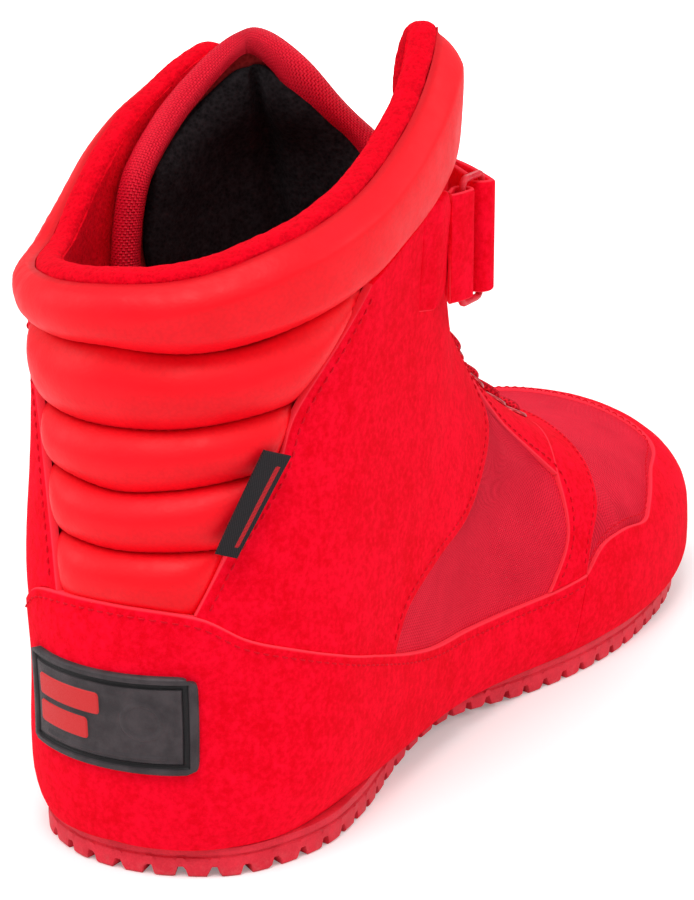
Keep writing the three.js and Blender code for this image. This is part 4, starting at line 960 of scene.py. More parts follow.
def blown_up(patch, depth, pressure=7.0, ease=-0.05, frames=20):
    """Depths of a cloth sheet that starts at depth, sewn down at its edges, with soft filling behind it."""
    rows, cols = patch.u.shape
    start = lifted(patch.places, depth)
    mesh = bpy.data.meshes.new("sheet")
    mesh.from_pydata((start.reshape(-1, 3) / SHEET_UNIT).tolist(), [], grid_faces(rows, cols))
    normals = outward(patch.places[..., 0], patch.places[..., 1])
    middle = (rows // 2) * (cols - 1) + cols // 2
    if np.dot(mesh.polygons[middle].normal, normals[rows // 2, cols // 2]) < 0:
        mesh.flip_normals()
    sheet = placed("sheet", mesh)
    sewn = (np.minimum(patch.from_left, patch.from_right) < FLANGE) | (patch.edge <= 0)
    group = sheet.vertex_groups.new(name="sewn")
    group.add(np.flatnonzero(sewn).tolist(), 1.0, "REPLACE")
    cloth = sheet.modifiers.new("cloth", "CLOTH")
    cloth.settings.vertex_group_mass = "sewn"
    cloth.settings.use_pressure = True
    cloth.settings.uniform_pressure_force = pressure
    cloth.settings.shrink_min = ease
    cloth.settings.effector_weights.gravity = 0
    cloth.point_cache.frame_start, cloth.point_cache.frame_end = 1, frames
    for frame_number in range(1, frames + 1):
        bpy.context.scene.frame_set(frame_number)
    done = sheet.evaluated_get(bpy.context.evaluated_depsgraph_get()).to_mesh()
    moved = np.zeros(rows * cols * 3)
    done.vertices.foreach_get("co", moved)
    bpy.data.objects.remove(sheet)
    bpy.data.meshes.remove(mesh)
    bpy.context.scene.frame_set(1)
    rise = ((moved.reshape(rows, cols, 3) * SHEET_UNIT - start) * normals).sum(-1)
    return depth + np.clip(rise, -0.5, MOST_RISE)


def gathers(patch, reach=7.0, pitch=3.6, seed=0.0):
    """Small puckers that run in from the sewn edges of a stuffed panel."""
    near = np.exp(-np.minimum(patch.from_bottom, patch.from_top) / reach * 2.2)
    along = patch.from_left / pitch
    spot = np.stack([along, patch.from_bottom / 30 + seed, np.zeros(along.shape)], -1)
    return near * ripple(spot, 1.0, seed) * np.clip(patch.edge / 1.5, 0, 1)


def stuffed(name, patch, bulge, seam_depth, inner, seed):
    swell = pillow(patch)
    slack = ripple(patch.flat, 17.0, seed) * 0.45 * swell
    outer = seam_depth + (bulge - seam_depth) * swell + slack + 0.42 * gathers(patch, seed=seed)
    outer = blown_up(patch, seam_depth + START_SHARE * (outer - seam_depth))
    cover = patch.solid(name, PADDED, outer, inner, radius=0.3, sharp=80)
    # Painted shade: the deeper the cover lies near a sewn channel, the darker its colour is painted.
    painted_crease_shade = np.clip((seam_depth + PAINTED_SHADE_REACH - outer) / PAINTED_SHADE_REACH, 0, 1)
    mark(cover, "painted_crease_shade", painted_crease_shade, painted_crease_shade)
    return dress(cover, "padded_cover", name)


def seam_across_back(side, back, inner):
    return round_back([*side, back, *mirrored(inner)])


PUFF_SEAMS = [
    seam_across_back([(22.5, 7.4, 69.5), (12, 3, 71.2)], (0, 1, 71.8), [(15.5, 4, 70.8)]),
    seam_across_back([(28.5, 14, 87), (16, 5, 86.6)], (0, 1, 86.2), REAR_SEAM_INNER[1:2]),
    seam_across_back([(35.5, 25, 105.5), (27, 14, 103.6), (16, 7, 102)], (0, 2, 101), REAR_SEAM_INNER[2:3]),
    seam_across_back(
        [(38.7, 31, 121), (29, 17, 118.6), (16, 8, 117)], (0, 3, 116.6), [(15, 7, 116.6), (28, 15.5, 117)]
    ),
    seam_across_back(
        [(46, 53, 147), (40, 31, 140.6), (32, 20, 137.3), (20, 9, 135.8)],
        (0, 1, 136.5),
        [(24, 11, 136), (36, 24, 138)],
    ),
]
for i, name in enumerate(["heel_puff_base", "heel_puff_lower", "heel_puff_middle", "heel_puff_upper"]):
    puff = Patch(PUFF_SEAMS[i], PUFF_SEAMS[i + 1], step=PUFF_STEP, inset=(-FLANGE, -0.1), edge=0.6)
    stuffed(name, puff, bulge=2.5, seam_depth=-3.2, inner=-3.6, seed=2.0 * i)
for seam in PUFF_SEAMS[1:4]:
    stitch_row(threads, *seam_line(seam, CHANNEL_THREAD, trim=4.0))

collar_seam = round_back(
    [
        *COLLAR_SEAM_SIDE[::-1], (40, 31, 140.6), (24, 11, 136), (0, 1, 136.5), (-24, 11, 136),
        *mirrored(COLLAR_SEAM_INNER),
    ]
)
rim = round_back([*RIM_SIDE[::-1], *mirrored(RIM_INNER)[1:]])
outer_end = round_back(COLLAR_END)
inner_end = round_back(mirrored(COLLAR_END_INNER))
collar = Patch(collar_seam, rim, outer_end, inner_end, step=PUFF_STEP, inset=-0.1, edge=0.6)
stuffed("collar_roll", collar, bulge=2.8, seam_depth=-3.0, inner=-3.4, seed=11.0)
stitch_row(threads, *seam_line(collar_seam, CHANNEL_THREAD, trim=4.0))
foam = Patch(collar_seam, rim, outer_end, inner_end, step=5.0, inset=1.4)
core = foam.solid("collar_foam_pad", FOAM, -3.6, -4.3 - collar_extra(foam.s))
dress(core, "padding_foam", "collar_foam")

# The fleece lining rolled over the edge of the collar, from the front edge of one side to that of the other.
ear = [outer_end, rim[1:], inner_end[::-1][1:]]
rim_places = at_shares(np.vstack(ear), np.linspace(0, 1, 340))


def smoothed(places, turns):
    for _ in range(turns):
        places = np.vstack([places[:1], (places[:-2] + 2 * places[1:-1] + places[2:]) / 4, places[-1:]])
    return places


rim_places = smoothed(rim_places, 14)
rim_out = lifted(rim_places, np.full(len(rim_places), -3.6))
rim_in = lifted(rim_places, LINING_IN - collar_extra(rim_places[:, 0]) + 0.3)
rim_along = unit(np.gradient(rim_out, axis=0))
across = unit(rim_in - rim_out)
rim_up = unit(np.cross(rim_along, across))
if rim_up[len(rim_up) // 2, 2] < 0:
    rim_up = -rim_up
RIM_SIDES, RIM_ABOVE, RIM_BELOW = 26, 1.9, 5.5
angle = np.linspace(0, 2 * math.pi, RIM_SIDES, endpoint=False)
from_end = np.minimum(np.arange(len(rim_places)), np.arange(len(rim_places))[::-1])
ends = np.clip(from_end / (len(rim_places) * 0.02), 0.15, 1)
half = np.linalg.norm(rim_in - rim_out, axis=-1) / 2 * (0.7 + 0.3 * ends)
middle = (rim_in + rim_out) / 2
tall = np.where(np.sin(angle) > 0, RIM_ABOVE, RIM_BELOW)
squared = np.sign(-np.cos(angle)) * np.abs(np.cos(angle)) ** 0.85
roll = (
    middle[:, None]
    + across[:, None] * squared[None, :, None] * half[:, None, None]
    + rim_up[:, None] * (np.sin(angle) * tall)[None, :, None] * ends[:, None, None]
)
lump = ripple(roll, 1.7, 4.0) * 0.22 + ripple(roll, 9.0, 2.0) * 0.35
roll = roll + unit(roll - middle[:, None]) * lump[..., None]
rim_faces = cord_faces(len(rim_places), RIM_SIDES)
dress(build("rim_binding", roll.reshape(-1, 3), rim_faces, RED_FLEECE), "red_fleece", "rim_binding")

# ---------------------------------------------------------------- tongue
TONGUE_OUTER = [(0.26, 27.5), (0.33, 31), (0.42, 34), (0.55, 38.5), (0.68, 43.5), (0.8, 48.5)]
TONGUE_INNER = [
    (0.26, -27.5), (0.33, -31), (0.42, -34), (0.55, -40), (0.66, -49.5), (0.74, -64), (0.8, -78), (0.85, -86),
    (0.926, -85),
]
TONGUE_TOP = [
    (0.8, 48.5), (0.845, 37), (0.875, 26), (0.9, 17.5), (0.925, 11), (0.953, 2), (0.966, -10), (0.97, -20),
    (0.97, -32.5), (0.971, -45), (0.964, -54.5), (0.955, -63), (0.942, -75), (0.926, -85),
]


def degrees(rows):
    return np.array(rows, float) * (1, math.pi / 180)


TONGUE_FACE, TONGUE_LEAN = 8.4, 11


def tongue_depth(places):
    """Depth of the tongue's outer face; its top leans in at the front and its wings lie along the lining."""
    s, a = places[..., 0], np.degrees(np.abs(places[..., 1]))
    lean = TONGUE_LEAN * smooth(0.86, 1, s) * (1 - 0.85 * smooth(34, 70, a))
    return -(TONGUE_FACE + collar_extra(s) + lean)


CREASE_ANGLE, CREASE_WIDTH = 26, 7
tongue_left = through(degrees(TONGUE_OUTER))
tongue_right = through(degrees(TONGUE_INNER))
tongue_top = through(degrees(TONGUE_TOP))
tongue_foot = through(degrees([(0.26, a) for a in (27.5, 14, 0, -14, -27.5)]))
tongue = Patch(tongue_foot, tongue_top, tongue_left, tongue_right, inset=1.6)
deep = tongue_depth(tongue.places)
face = tongue.solid("tongue_face", WOVEN, deep + 0.3 * ripple(tongue.flat, 15.0), deep - 1.2, body="tongue")
dress(face, "woven_nylon", "tongue_face")
core = tongue.solid("tongue_pad", FOAM, deep - 1.4, deep - 4.4, body="tongue")
dress(core, "padding_foam", "tongue_foam")
hem = Patch(tongue_foot, tongue_top, tongue_left, tongue_right, inset=3.0)
deep = tongue_depth(hem.places)
# The padding is creased down the middle, from the peak to the instep.
crease = 1 - np.exp(-((np.degrees(hem.places[..., 1]) + CREASE_ANGLE) / CREASE_WIDTH) ** 2)
soft = np.clip(hem.edge / 14, 0, 1)
swell = 4.6 * crease * np.sqrt(np.maximum(1 - (1 - soft) ** 2, 0)) * smooth(0.45, 0.75, hem.s)
fuzz = ripple(hem.flat, 1.8) * 0.16 + ripple(hem.flat, 12.0, 8.0) * 0.5
inner_face = deep - 5.6 - swell + fuzz
lining = hem.solid("tongue_lining", BLACK_FLEECE, deep - 4.5, inner_face, body="tongue")
dress(lining, "black_fleece", "tongue_lining")


def step_along(places, moves):
    """Places moved by small vectors in mm that lie in the surface."""
    h = 1e-4
    ds = (surface(places[:, 0] + h, places[:, 1]) - surface(places[:, 0] - h, places[:, 1])) / (2 * h)
    da = (surface(places[:, 0], places[:, 1] + h) - surface(places[:, 0], places[:, 1] - h)) / (2 * h)
    out = places.copy()
    for k in range(len(places)):
        change = np.linalg.lstsq(np.stack([ds[k], da[k]], 1), moves[k], rcond=None)[0]
        out[k] += change
    return out


edge_places = np.vstack([tongue_left[6:], tongue_top[1:], tongue_right[::-1][1:-6]])
edge_places = smoothed(at_shares(edge_places, np.linspace(0, 1, 300)), 30)
edge_line = surface(edge_places[:, 0], edge_places[:, 1])
edge_along = unit(np.gradient(edge_line, axis=0))
edge_in = unit(np.cross(outward(edge_places[:, 0], edge_places[:, 1]), edge_along))
centre = surface(np.array([0.7]), np.array([0.0]))[0]
if ((centre - edge_line) * edge_in).sum(-1).mean() < 0:
    edge_in = -edge_in
FOLD = [
    (8.5, 0.9), (5.0, 1.0), (2.0, 0.9), (-0.4, 0.1), (-1.5, -1.6), (-1.6, -3.4), (-1.1, -5.2), (0.4, -6.6),
    (2.5, -7.1), (5.0, -7.3), (8.5, -7.1), (8.8, -6.3), (8.4, -5.6), (4.0, -5.4), (1.4, -4.4), (0.6, -2.6),
    (1.4, -0.6), (4.0, -0.1), (8.4, 0.1), (8.8, 0.5),
]
run = run_length(edge_line)
# The binding is broad along the outer wing and narrow along the inner one.
breadth = 0.36 + 0.95 * (1 - smooth(0.3, 0.5, run / run[-1]))
rings = []
for inward, depth in FOLD:
    share = breadth if inward > 1.5 else np.ones(len(run))
    spot = step_along(edge_places, edge_in * (inward * share)[:, None])
    rings.append(lifted(spot, tongue_depth(spot) + depth + 0.12 * ripple(edge_line, 7.0, inward)))
binding = np.stack(rings, 1)
uv = uv_grid(run_length(np.array(FOLD)), run)
band_faces = cord_faces(len(edge_places), len(FOLD))
fold = build("tongue_binding", binding.reshape(-1, 3), band_faces, TAPE, "tongue", uv, sharp=70)
dress(fold, "woven_nylon", "tongue_binding")

# ---------------------------------------------------------------- eyelets and lace
EYELET_PROFILE = np.array([
    (2.3, -2.1), (2.65, -2.1), (2.65, 0.55), (4.1, 0.6), (4.3, 0.85), (4.2, 1.2), (3.7, 1.55), (3.1, 1.65),
    (2.6, 1.5), (2.3, 1.0),
])


def frame_of(direction):
    z = Vector(direction).normalized()
    x = z.orthogonal().normalized()
    return np.array([x, z.cross(x), z])


def lathe(profile, spot, direction, sides=28):
    x, y, z = frame_of(direction)
    a = np.linspace(0, 2 * math.pi, sides, endpoint=False)
    round_ = np.cos(a)[:, None] * x + np.sin(a)[:, None] * y
    rings = spot + profile[:, :1, None] * round_[None] + profile[:, 1:, None] * z[None, None]
    return rings.reshape(-1, 3), loop_faces(len(profile), sides)


for side, sign in (("outer", 1), ("inner", -1)):
    for k, place in enumerate(eyelet_places(sign)):
        spot, up = lifted(place[None], np.zeros(1))[0], outward(place[:1], place[1:])[0]
        ring, faces = lathe(EYELET_PROFILE, spot, up)
        name = f"eyelet_{side}_{k + 1}"
        dress(build(f"{name}_rolled", ring, faces, EYELET), "eyelet_metal", name)


LACE_OVER, LACE_UNDER = 2.9, -3.7  # depth of the lace outside and inside the eyelets, in mm
LACE_RADIUS, LACE_SQUASH, LACE_SIDES = 1.35, 0.8, 12
LACE_AROUND = 1.6 * 5  # mm of braid around the lace


def lace_strand(first, lift):
    rows = {1: eyelet_places(1), -1: eyelet_places(-1)}
    spots, depths = [], []
    for k in range(5):
        sign = -first if k % 2 else first
        here = rows[sign][k]
        arriving, leaving = (LACE_UNDER, LACE_OVER) if k % 2 else (LACE_OVER, LACE_UNDER)
        spots += [here] * 3
        depths += [arriving * 0.75, (arriving + leaving) / 2, leaving * 0.8]
        if k == 4:
            break
        ahead = rows[-sign][k + 1]
        for t in (0.14, 0.3, 0.5, 0.7, 0.86):
            spots.append(here + (ahead - here) * t)
            depths.append(leaving + (lift if t == 0.5 else 0))
    last = rows[first][-1]
    spots.append(np.array([last[0] + 0.01, last[1] * 0.8]))
    depths.append(LACE_UNDER)
    return lifted(np.array(spots), np.array(depths))


first_a, first_b = eyelet_places(1)[0], eyelet_places(-1)[0]
bar_places = np.array([first_b + (first_a - first_b) * t for t in (0.14, 0.35, 0.65, 0.86)])
bar = lifted(bar_places, np.full(len(bar_places), LACE_OVER))
lace_line = through(np.vstack([lace_strand(-1, -1.4)[::-1], bar, lace_strand(1, 1.4)]), 10)
verts, faces = tube(lace_line, LACE_RADIUS, LACE_SIDES, squash=LACE_SQUASH)
uv = uv_grid(np.arange(LACE_SIDES) * LACE_AROUND / LACE_SIDES, run_length(lace_line))
dress(build("lace", verts, faces, BRAID, uv=uv), "woven_nylon", "lace")

# ---------------------------------------------------------------- ankle strap
STRAP_LOW, STRAP_HIGH = 131.0, 162.0
BAND_THICK, LOOP_THICK, HOOK_THICK, KEEPER_THICK = 1.9, 1.1, 0.6, 1.3
RING_CORNER, WIRE_RADIUS = 1.8, 0.95
KEEPER_PIN, STRAP_PIN = np.array([45.0, 105.0]), np.array([45.0, 116.0])
STRAP_LINE = [
    (-48.1, 87), (-47.8, 98), (-43, 112), (-34, 126), (-20, 136), (-4, 140), (11.5, 138.5), (24, 132.5),
    (34, 124.5), (40.2, 117.5),
]


strap_plan = even(through(STRAP_LINE, 24), 1.0)


def beside_strap(start, end, count, distance):
    along = unit(np.gradient(strap_plan, axis=0))
    side = np.stack([-along[:, 1], along[:, 0]], -1)
    moved = strap_plan + side * distance
    share = np.linspace(start, end, count + 1) * (len(strap_plan) - 1)
    return sampled(moved, share, np.arange(len(moved)))


def around_pin(pin, radius, start, end, count):
    a = np.radians(np.linspace(start, end, count + 1))
    return pin + radius * np.stack([np.cos(a), np.sin(a)], -1)


def webbing(name, plan, thickness, low, high, material, body="boot"):
    """An upright band with rounded edges along a plan-view line."""
    plan = even(plan, 1.2)
    along = unit(np.gradient(plan, axis=0))
    side = np.stack([along[:, 1], -along[:, 0]], -1)
    r = thickness / 2
    turn = np.linspace(0, math.pi / 2, 4)
    flat = np.linspace(low + r, high - r, 12)[1:-1]
    heights = np.concatenate([low + r - r * np.cos(turn), flat, high - r + r * np.sin(turn)])
    past = np.maximum(0, np.maximum(low + r - heights, heights - high + r))
    half = np.sqrt(np.maximum(r * r - past ** 2, 0)) * 0.98 + 0.02 * r
    loop_z = np.concatenate([heights, heights[::-1]])
    loop_d = np.concatenate([half, -half[::-1]])
    run = run_length(plan)
    waver = np.array([noise.noise(Vector((u / 16, low, 3.0))) for u in run]) * 0.5
    x = plan[:, None, 0] + side[:, None, 0] * loop_d[None]
    y = plan[:, None, 1] + side[:, None, 1] * loop_d[None] - HEEL_SETBACK
    z = loop_z[None] + waver[:, None]
    verts = np.stack([x, y, np.broadcast_to(z, x.shape)], -1)
    faces = cord_faces(len(plan), len(loop_z))
    obj = build(name, verts.reshape(-1, 3), faces, material, body, uv_grid(loop_z, run), sharp=60)
    edge = np.minimum(loop_z - low, high - loop_z)
    mark(obj, "rim", np.broadcast_to(np.clip(1 - edge / 0.7, 0, 1)[None], x.shape))
    return obj


dress(webbing("strap_band", strap_plan, BAND_THICK, STRAP_LOW, STRAP_HIGH, SUEDE), "suede", "strap")
patch_line = beside_strap(0.2, 0.86, 70, 1.6)
loop = webbing("loop_patch", patch_line, LOOP_THICK, STRAP_LOW + 3, STRAP_HIGH + 0.7, BLACK_FLEECE)
dress(loop, "black_fleece", "strap_loop_patch")
tail_plan = through(np.vstack([around_pin(STRAP_PIN, 2.6, -125, 45, 5), beside_strap(0.92, 0.2, 9, 4)]), 14)
tail = webbing("strap_end", tail_plan, BAND_THICK, STRAP_LOW + 0.5, STRAP_HIGH - 0.5, SUEDE, "strap_end")
dress(tail, "suede", "strap_tail")
hook_line = beside_strap(0.24, 0.5, 40, 2.6)
hook = webbing("hook_patch", hook_line, HOOK_THICK, STRAP_LOW + 4, STRAP_HIGH - 4, BLACK_FLEECE, "strap_end")
dress(hook, "black_fleece", "strap_hook_patch")

keeper_bend = around_pin(KEEPER_PIN, 2.5, 190, -30, 6)
keeper_plan = through(np.vstack([[(44.1, 98.6), (43.3, 101.5)], keeper_bend, [(47, 100.5), (46, 96.2)]]), 14)
keeper = webbing("ring_keeper_fold", keeper_plan, KEEPER_THICK, STRAP_LOW + 1, STRAP_HIGH - 1, SUEDE)
dress(keeper, "suede", "ring_keeper")


def ring_points():
    def at(t, z):
        x, y = KEEPER_PIN + (STRAP_PIN - KEEPER_PIN) * t
        return (x, y - HEEL_SETBACK, z)

    low, high, r = STRAP_LOW - 1.1, STRAP_HIGH + 1.1, RING_CORNER
    wide = np.linalg.norm(STRAP_PIN - KEEPER_PIN)
    out = []
    near, far = r / wide, 1 - r / wide
    for t, z, start in ((near, low + r, 180), (far, low + r, 270), (far, high - r, 0), (near, high - r, 90)):
        for a in np.radians(np.linspace(start, start + 90, 8)):
            out.append(at(t + near * math.cos(a), z + r * math.sin(a)))
    closed = np.array(out + out[:1])
    return even(closed, 0.9)[:-1]


verts, faces = tube(ring_points(), WIRE_RADIUS, 14, closed=True)
dress(build("strap_ring_wire", verts, faces, WIRE, "ring"), "coated_wire", "strap_ring")

ANCHOR_FRONT = [(42.5, 87, 132.5), (40.5, 95, 137), (40, 98, 147), (41.5, 96.5, 157), (43.5, 91, 163.5)]
anchor = Patch(
    on([(43.5, 81.5, 133), ANCHOR_FRONT[0]]),
    on([(45.8, 80, 160), ANCHOR_FRONT[-1]]),
    on([(43.5, 81.5, 133), (45.8, 80, 160)]),
    along_side(ANCHOR_FRONT),
    step=1.2,
)
tab_height = 0.7 + 2.3 * smooth(0, 8, anchor.from_left)
skin("anchor_tab", anchor, SUEDE, tab_height, 0.3, ["right", "bottom"], 0.7, node="strap_anchor")
threads.make("upper_stitches", THREAD)

# ---------------------------------------------------------------- labels
def at_xz(x, z, start=0.6):
    """Places on the back of the heel whose points have the given x and z in mm."""
    s, a = np.full(x.shape, start), np.full(x.shape, math.pi) - np.clip(x / 60, -1, 1)
    h = 1e-4
    for _ in range(30):
        p = surface(s, a)
        ds = (surface(s + h, a) - p) / h
        da = (surface(s, a + h) - p) / h
        ex, ez = x - p[..., 0], z - p[..., 2]
        det = ds[..., 0] * da[..., 2] - da[..., 0] * ds[..., 2]
        det = np.where(np.abs(det) < 1e-6, 1e-6, det)
        s = np.clip(s + np.clip((ex * da[..., 2] - ez * da[..., 0]) / det, -0.02, 0.02), 0.4, 0.99)
        a = a + np.clip((ez * ds[..., 0] - ex * ds[..., 2]) / det, -0.2, 0.2)
    return np.stack([s, a], -1)


def box_distance(x, z, half_x, half_z, corner):
    dx, dz = np.abs(x) - half_x + corner, np.abs(z) - half_z + corner
    return np.hypot(np.maximum(dx, 0), np.maximum(dz, 0)) + np.minimum(np.maximum(dx, dz), 0) - corner


def heel_label():
    half_x, half_z, centre_x = 23.6, 13.2, -1.2
    nx, nz = ((210, 110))
    u, v = np.meshgrid(np.linspace(-1, 1, nx), np.linspace(-1, 1, nz))
    # Square corners are pulled in to round ones.
    pull = 1 - 0.10 * (np.abs(u) ** 14) * (np.abs(v) ** 14)
    x = u * half_x * pull
    z = v * half_z * pull
    d = -box_distance(x, z, half_x, half_z, 2.0)
    groove = smooth(1.7, 2.1, d) * (1 - smooth(3.0, 3.4, d))
    field = smooth(3.1, 3.5, d)
    height = 2.75 - 1.0 * groove - 0.35 * field
    inked = np.zeros(d.shape)
    for left, right, low, high in ((-18.8, 1.2, 1.4, 7.6), (-18.8, -2.4, -6.0, 0.2)):
        from_x, from_z = x - (left + right) / 2, z - (low + high) / 2
        inside = -box_distance(from_x, from_z, (right - left) / 2, (high - low) / 2, 1.2)
        inked = np.maximum(inked, smooth(0.0, 0.35, inside))
    ring = np.abs(np.hypot(x - 11.5, z - 1.2) - 4.6)
    line = (1 - smooth(0.3, 0.6, np.abs(z + 8.6))) * (np.abs(x) < 17)
    emboss = np.maximum(1 - smooth(0.35, 0.75, ring), line)
    height = height + 0.55 * inked + 0.3 * emboss * field
    height = height - 0.75 * (1 - smooth(0.0, 0.9, d + 0.02)) ** 2
    places = at_xz(x + centre_x, z + 43.0)
    top, low = lifted(places, height), lifted(places, np.full(d.shape, 0.9))
    verts = np.vstack([top.reshape(-1, 3), low.reshape(-1, 3)])
    obj = build("heel_label", verts, slab_faces(nz, nx), LABEL, sharp=60)
    mark(obj, "groove", groove, np.zeros(d.size))
    mark(obj, "inked", inked, np.zeros(d.size))
    return dress(obj, "label_rubber", "heel_patch")


heel_label()

tag = Patch(on([(25, 11, 88), (29, 14.5, 86)]), on([(32.5, 20.5, 113), (37, 26.5, 110)]), step=0.8, edge=0.5)
width = tag.from_left + tag.from_right
lift = 3.9 + 1.1 * (tag.from_right / width) ** 1.5 + 0.25 * np.sin(tag.from_bottom / 6.0)
obj = tag.solid("folded_tag", TAG, lift + 0.6, lift - 0.6, radius=0.5)
stripe = ((tag.from_right > width * 0.22) & (tag.from_right < width * 0.40)).astype(float)
stripe = stripe * (tag.from_bottom > 3) * (tag.from_top > 3)
mark(obj, "stripe", stripe, np.zeros(stripe.size))
dress(obj, "tag_weave", "woven_tag")

# ---------------------------------------------------------------- sole unit
SOLE_OUTER = [
    (0, 4.2), (13.8, 6.9), (30.1, 17.1), (39.5, 39.3), (38.9, 62.4), (33.5, 91.6), (33, 121), (39.1, 148.8),
    (47.5, 178.9), (50.7, 204.3), (50.2, 224.7), (48.2, 245.3), (43.1, 262.9), (32.8, 278.8), (16.7, 291.5),
    (-5.5, 298.1),
]
SOLE_INNER = [
    (0, 4.2), (-13.9, 6.6), (-29.5, 17.3), (-39, 39.6), (-38.8, 62.3), (-34, 91), (-34, 121), (-39, 149),
    (-46, 179), (-50, 205), (-52, 235), (-51, 255), (-48, 270), (-40, 284), (-27, 294), (-5.5, 298.1),
]
LUG_PITCH, LUG_HEIGHT, LUG_LENGTH = 8.5, 2.6, 5.4
LUG_SHARE = LUG_LENGTH / LUG_PITCH / 2
TREAD_BARS_ACROSS = 44


def sole_outline(half, turns=0):
    """The closed outline, with half points along each side from heel to toe, smoothed a number of times,
    and the direction outwards at each point."""
    sides = []
    for points in (SOLE_OUTER, SOLE_INNER):
        fine = through(points, 24)
        run = run_length(fine)
        sides.append(sampled(fine, np.linspace(0, run[-1], half + 1), run))
    loop = np.vstack([sides[0], sides[1][::-1][1:-1]])
    for _ in range(turns):
        loop = (np.roll(loop, 1, 0) + 2 * loop + np.roll(loop, -1, 0)) / 4
    along = unit(np.roll(loop, -1, 0) - np.roll(loop, 1, 0))
    return loop, np.stack([along[:, 1], -along[:, 0]], -1)


# Rows of the sole's outline, from the cup over the edge: mm outwards, mm above the sole's top edge.
WALL_ROWS = [
    (-6.6, -3.2), (-6.2, -0.3), (-5.6, 0.0), (-0.7, 0.0), (-0.2, -0.25), (0.0, -0.8), (0.0, -1.9),
    (-0.45, -2.2), (-0.45, -2.6), (0.05, -2.95),
]
# Then down and under: mm outwards, share of the height, how far the row is cut into lugs.
LUG_ROWS = [
    (0.3, 0.5, 1.0), (0.35, 0.22, 1.0), (0.25, 0.08, 1.0), (-0.35, 0.0, 1.0), (-3.5, 0.0, 1.0),
    (-7.0, 0.0, 1.0), (-9.6, 0.0, 0.98), (-10.4, 0.0, 0.5), (-11.0, 0.0, 0.0), (-12.4, 0.0, 0.0),
]
SOLE_CUP = 3.2  # mm from the sole's top edge down to the floor of its cup


def lid(verts, faces, base, half, across, height_at, flip):
    """Closes the ring of sole_outline points that starts at base with strips between its two sides; returns
    the longer list of points."""
    count = 2 * half
    start = len(verts)
    grid = np.zeros((half + 1, across + 1), int)
    extra = []
    for i in range(half + 1):
        a, b = base + i, base + (count - i) % count
        grid[i, 0], grid[i, -1] = a, b
        if a == b:
            grid[i] = a
            continue
        for j in range(1, across):
            t = j / across
            p = verts[a] * (1 - t) + verts[b] * t
            extra.append((p[0], p[1], height_at(p[0], p[1], p[2], min(t, 1 - t))))
            grid[i, j] = start + len(extra) - 1
    for i in range(half):
        for j in range(across):
            quad = [grid[i, j], grid[i + 1, j], grid[i + 1, j + 1], grid[i, j + 1]]
            quad = [q for n, q in enumerate(quad) if q not in quad[:n]]
            if len(quad) > 2:
                faces.append(tuple(quad[::-1] if flip else quad))
    return np.vstack([verts, np.array(extra)])


def outsole():
    half = 520
    loop, out = sole_outline(half, 4)
    run = np.concatenate([[0], np.cumsum(np.linalg.norm(np.roll(loop, -1, 0) - loop, axis=1))])
    teeth = round(run[-1] / LUG_PITCH)
    phase = (run[:-1] / run[-1] * teeth) % 1
    tooth = smooth(0.10, 0.20, phase) * (1 - smooth(0.80, 0.90, phase))

    def ring(offset, level, toothed=None):
        spots = loop + out * offset
        y = spots[:, 1] - HEEL_SETBACK
        top = sole_top(y)
        if toothed is None:
            return np.stack([spots[:, 0], y, top + level], -1)
        base = sole_bottom(y) + LUG_HEIGHT * (1 - tooth * toothed)
        return np.stack([spots[:, 0], y, base + (top - base) * level], -1)

    rings = [ring(*row) for row in (*WALL_ROWS, *LUG_ROWS)]
    verts = np.concatenate(rings)
    faces = grid_faces(len(rings), len(loop), wrap=True)

    def tread(x, y, z, t):
        phase = ((y + abs(x) * 0.35) / LUG_PITCH + 0.5) % 1 - 0.5
        bar = 1 - smooth(LUG_SHARE - 0.06, LUG_SHARE + 0.04, abs(phase))
        bar = bar * smooth(0.02, 0.06, t) * smooth(1.0, 1.9, abs(x))
        return float(sole_bottom(np.array(y)) + LUG_HEIGHT * (1 - bar))

    verts = lid(verts, faces, (len(rings) - 1) * len(loop), half, TREAD_BARS_ACROSS, tread, True)
    verts = lid(verts, faces, 0, half, 6, lambda x, y, z, t: float(sole_top(np.array(y)) - SOLE_CUP), False)
    return build("outsole_tread", verts, faces, SOLE_RUBBER, sharp=35)


sole = outsole()
dress(sole, "sole_rubber", "outsole")

for node, material, slot in (
    ("midsole_filler", SOLE_FOAM, "sole_foam"),
    ("insole_board", BOARD, "stiffener_board"),
    ("heel_counter", BOARD, "stiffener_board"),
    ("toe_puff", BOARD, "stiffener_board"),
):
    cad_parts[node].data.materials.clear()
    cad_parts[node].data.materials.append(material)


def sockliner():
    half = 130
    loop, out = sole_outline(half)
    rings = []
    for offset, level in ((-11.5, 0.0), (-9.8, 0.2), (-9.4, 1.2), (-9.6, 3.2), (-10.4, 4.0)):
        spots = loop + out * offset
        y = spots[:, 1] - HEEL_SETBACK
        rings.append(np.stack([spots[:, 0], y, sole_top(y) + 2.8 + level], -1))
    verts = np.concatenate(rings)
    faces = grid_faces(len(rings), len(loop), wrap=True)

    def lumpy(x, y, z, t):
        return z + noise.noise(Vector((x / 12, y / 12, 0))) * 0.4

    verts = lid(verts, faces, 0, half, 16, lambda x, y, z, t: z, True)
    verts = lid(verts, faces, (len(rings) - 1) * len(loop), half, 16, lumpy, False)
    return dress(build("sockliner_pad", verts, faces, BLACK_FLEECE), "black_fleece", "sockliner")


sockliner()

# ---------------------------------------------------------------- stage, light and camera
FLOOR_REACH = 4.0  # metres
GLOW_NEAR, GLOW_FAR = 0.35, 1.2  # metres between which the floor brightens to the white of the backdrop
WORLD_GLOW, BACKDROP_GLOW = 0.5, 1.05
LAMP_TARGET = Vector((0, 0.08, 0.08))


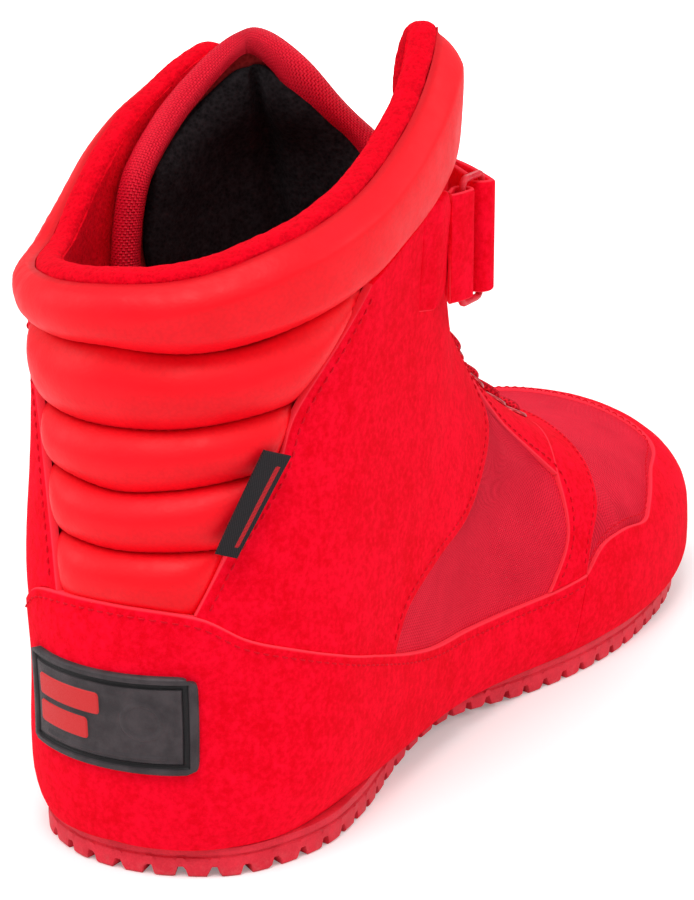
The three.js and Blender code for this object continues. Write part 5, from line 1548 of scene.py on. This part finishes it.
def stage():
    floor_mesh = bpy.data.meshes.new("floor")
    verts = [(x * FLOOR_REACH, y * FLOOR_REACH, 0) for x, y in ((-1, -1), (1, -1), (1, 1), (-1, 1))]
    floor_mesh.from_pydata(verts, [], [(0, 1, 2, 3)])
    floor = placed("floor", floor_mesh)
    f = Finish("pale_floor", 0.75, 0.2)
    seen = f.node("ShaderNodeLightPath").outputs["Is Camera Ray"]
    spot = f.node("ShaderNodeTexCoord").outputs["Object"]
    reach = f.node("ShaderNodeVectorMath", operation="LENGTH")
    f.tree.links.new(spot, reach.inputs[0])
    glow = f.math("MULTIPLY", seen, f.remap(reach.outputs["Value"], GLOW_NEAR, GLOW_FAR, 0.2, 1.0))
    shade = f.mix(f.noise(400.0, 2), (0.93, 0.93, 0.93, 1), (0.9, 0.9, 0.9, 1))
    f.done(shade, **{"Emission Color": (1, 1, 1, 1), "Emission Strength": glow})
    floor_mesh.materials.append(f.material)


def toward(azimuth, elevation):
    """The direction from the boot to a place around it, given in degrees."""
    a, e = math.radians(azimuth), math.radians(elevation)
    return Vector((math.sin(a) * math.cos(e), -math.cos(a) * math.cos(e), math.sin(e)))


def lamp(name, azimuth, elevation, distance, size, power):
    data = bpy.data.lights.new(name, "AREA")
    data.shape, data.size, data.energy = "DISK", size, power
    way = toward(azimuth, elevation)
    obj = placed(name, data)
    obj.location = LAMP_TARGET + way * distance
    obj.rotation_euler = way.to_track_quat("Z", "Y").to_euler()


def studio():
    world = bpy.data.worlds.new("studio")
    world.use_nodes = True
    bpy.context.scene.world = world
    tree = world.node_tree
    colour, strength = tree.nodes["Background"].inputs[:2]
    colour.default_value = (1, 1, 1, 1)
    ray = tree.nodes.new("ShaderNodeLightPath")
    amount = tree.nodes.new("ShaderNodeMapRange")
    amount.inputs["To Min"].default_value = WORLD_GLOW
    amount.inputs["To Max"].default_value = BACKDROP_GLOW
    tree.links.new(ray.outputs["Is Camera Ray"], amount.inputs["Value"])
    tree.links.new(amount.outputs[0], strength)
    lamp("key", 10, 62, 1.6, 0.9, 14.5)
    lamp("left_fill", -62, 28, 1.5, 0.9, 6)
    lamp("right_fill", 110, 35, 1.5, 0.9, 6)
    lamp("front_fill", 190, 40, 1.8, 1.0, 5)


CAMERA_TARGET = Vector((0.0, 0.068, 0.095))
CAMERA_DISTANCE, CAMERA_AZIMUTH, CAMERA_ELEVATION = 0.80193, 29.15, 16.77
LENS = 117.25
AIM_RIGHT, AIM_DOWN = 0.00906, 0.01582


def camera():
    back = toward(CAMERA_AZIMUTH, CAMERA_ELEVATION)
    turn = math.radians(CAMERA_AZIMUTH)
    right = Vector((math.cos(turn), math.sin(turn), 0))
    up = back.cross(right)
    data = bpy.data.cameras.new("camera")
    data.lens, data.sensor_width, data.clip_start = LENS, 36.0, 0.01
    obj = placed("camera", data)
    obj.location = CAMERA_TARGET + back * CAMERA_DISTANCE
    look = (-back + right * AIM_RIGHT - up * AIM_DOWN).normalized()
    obj.rotation_euler = look.to_track_quat("-Z", "Y").to_euler()
    bpy.context.scene.camera = obj


stage()
studio()
camera()
bpy.context.scene.view_settings.view_transform = "Standard"
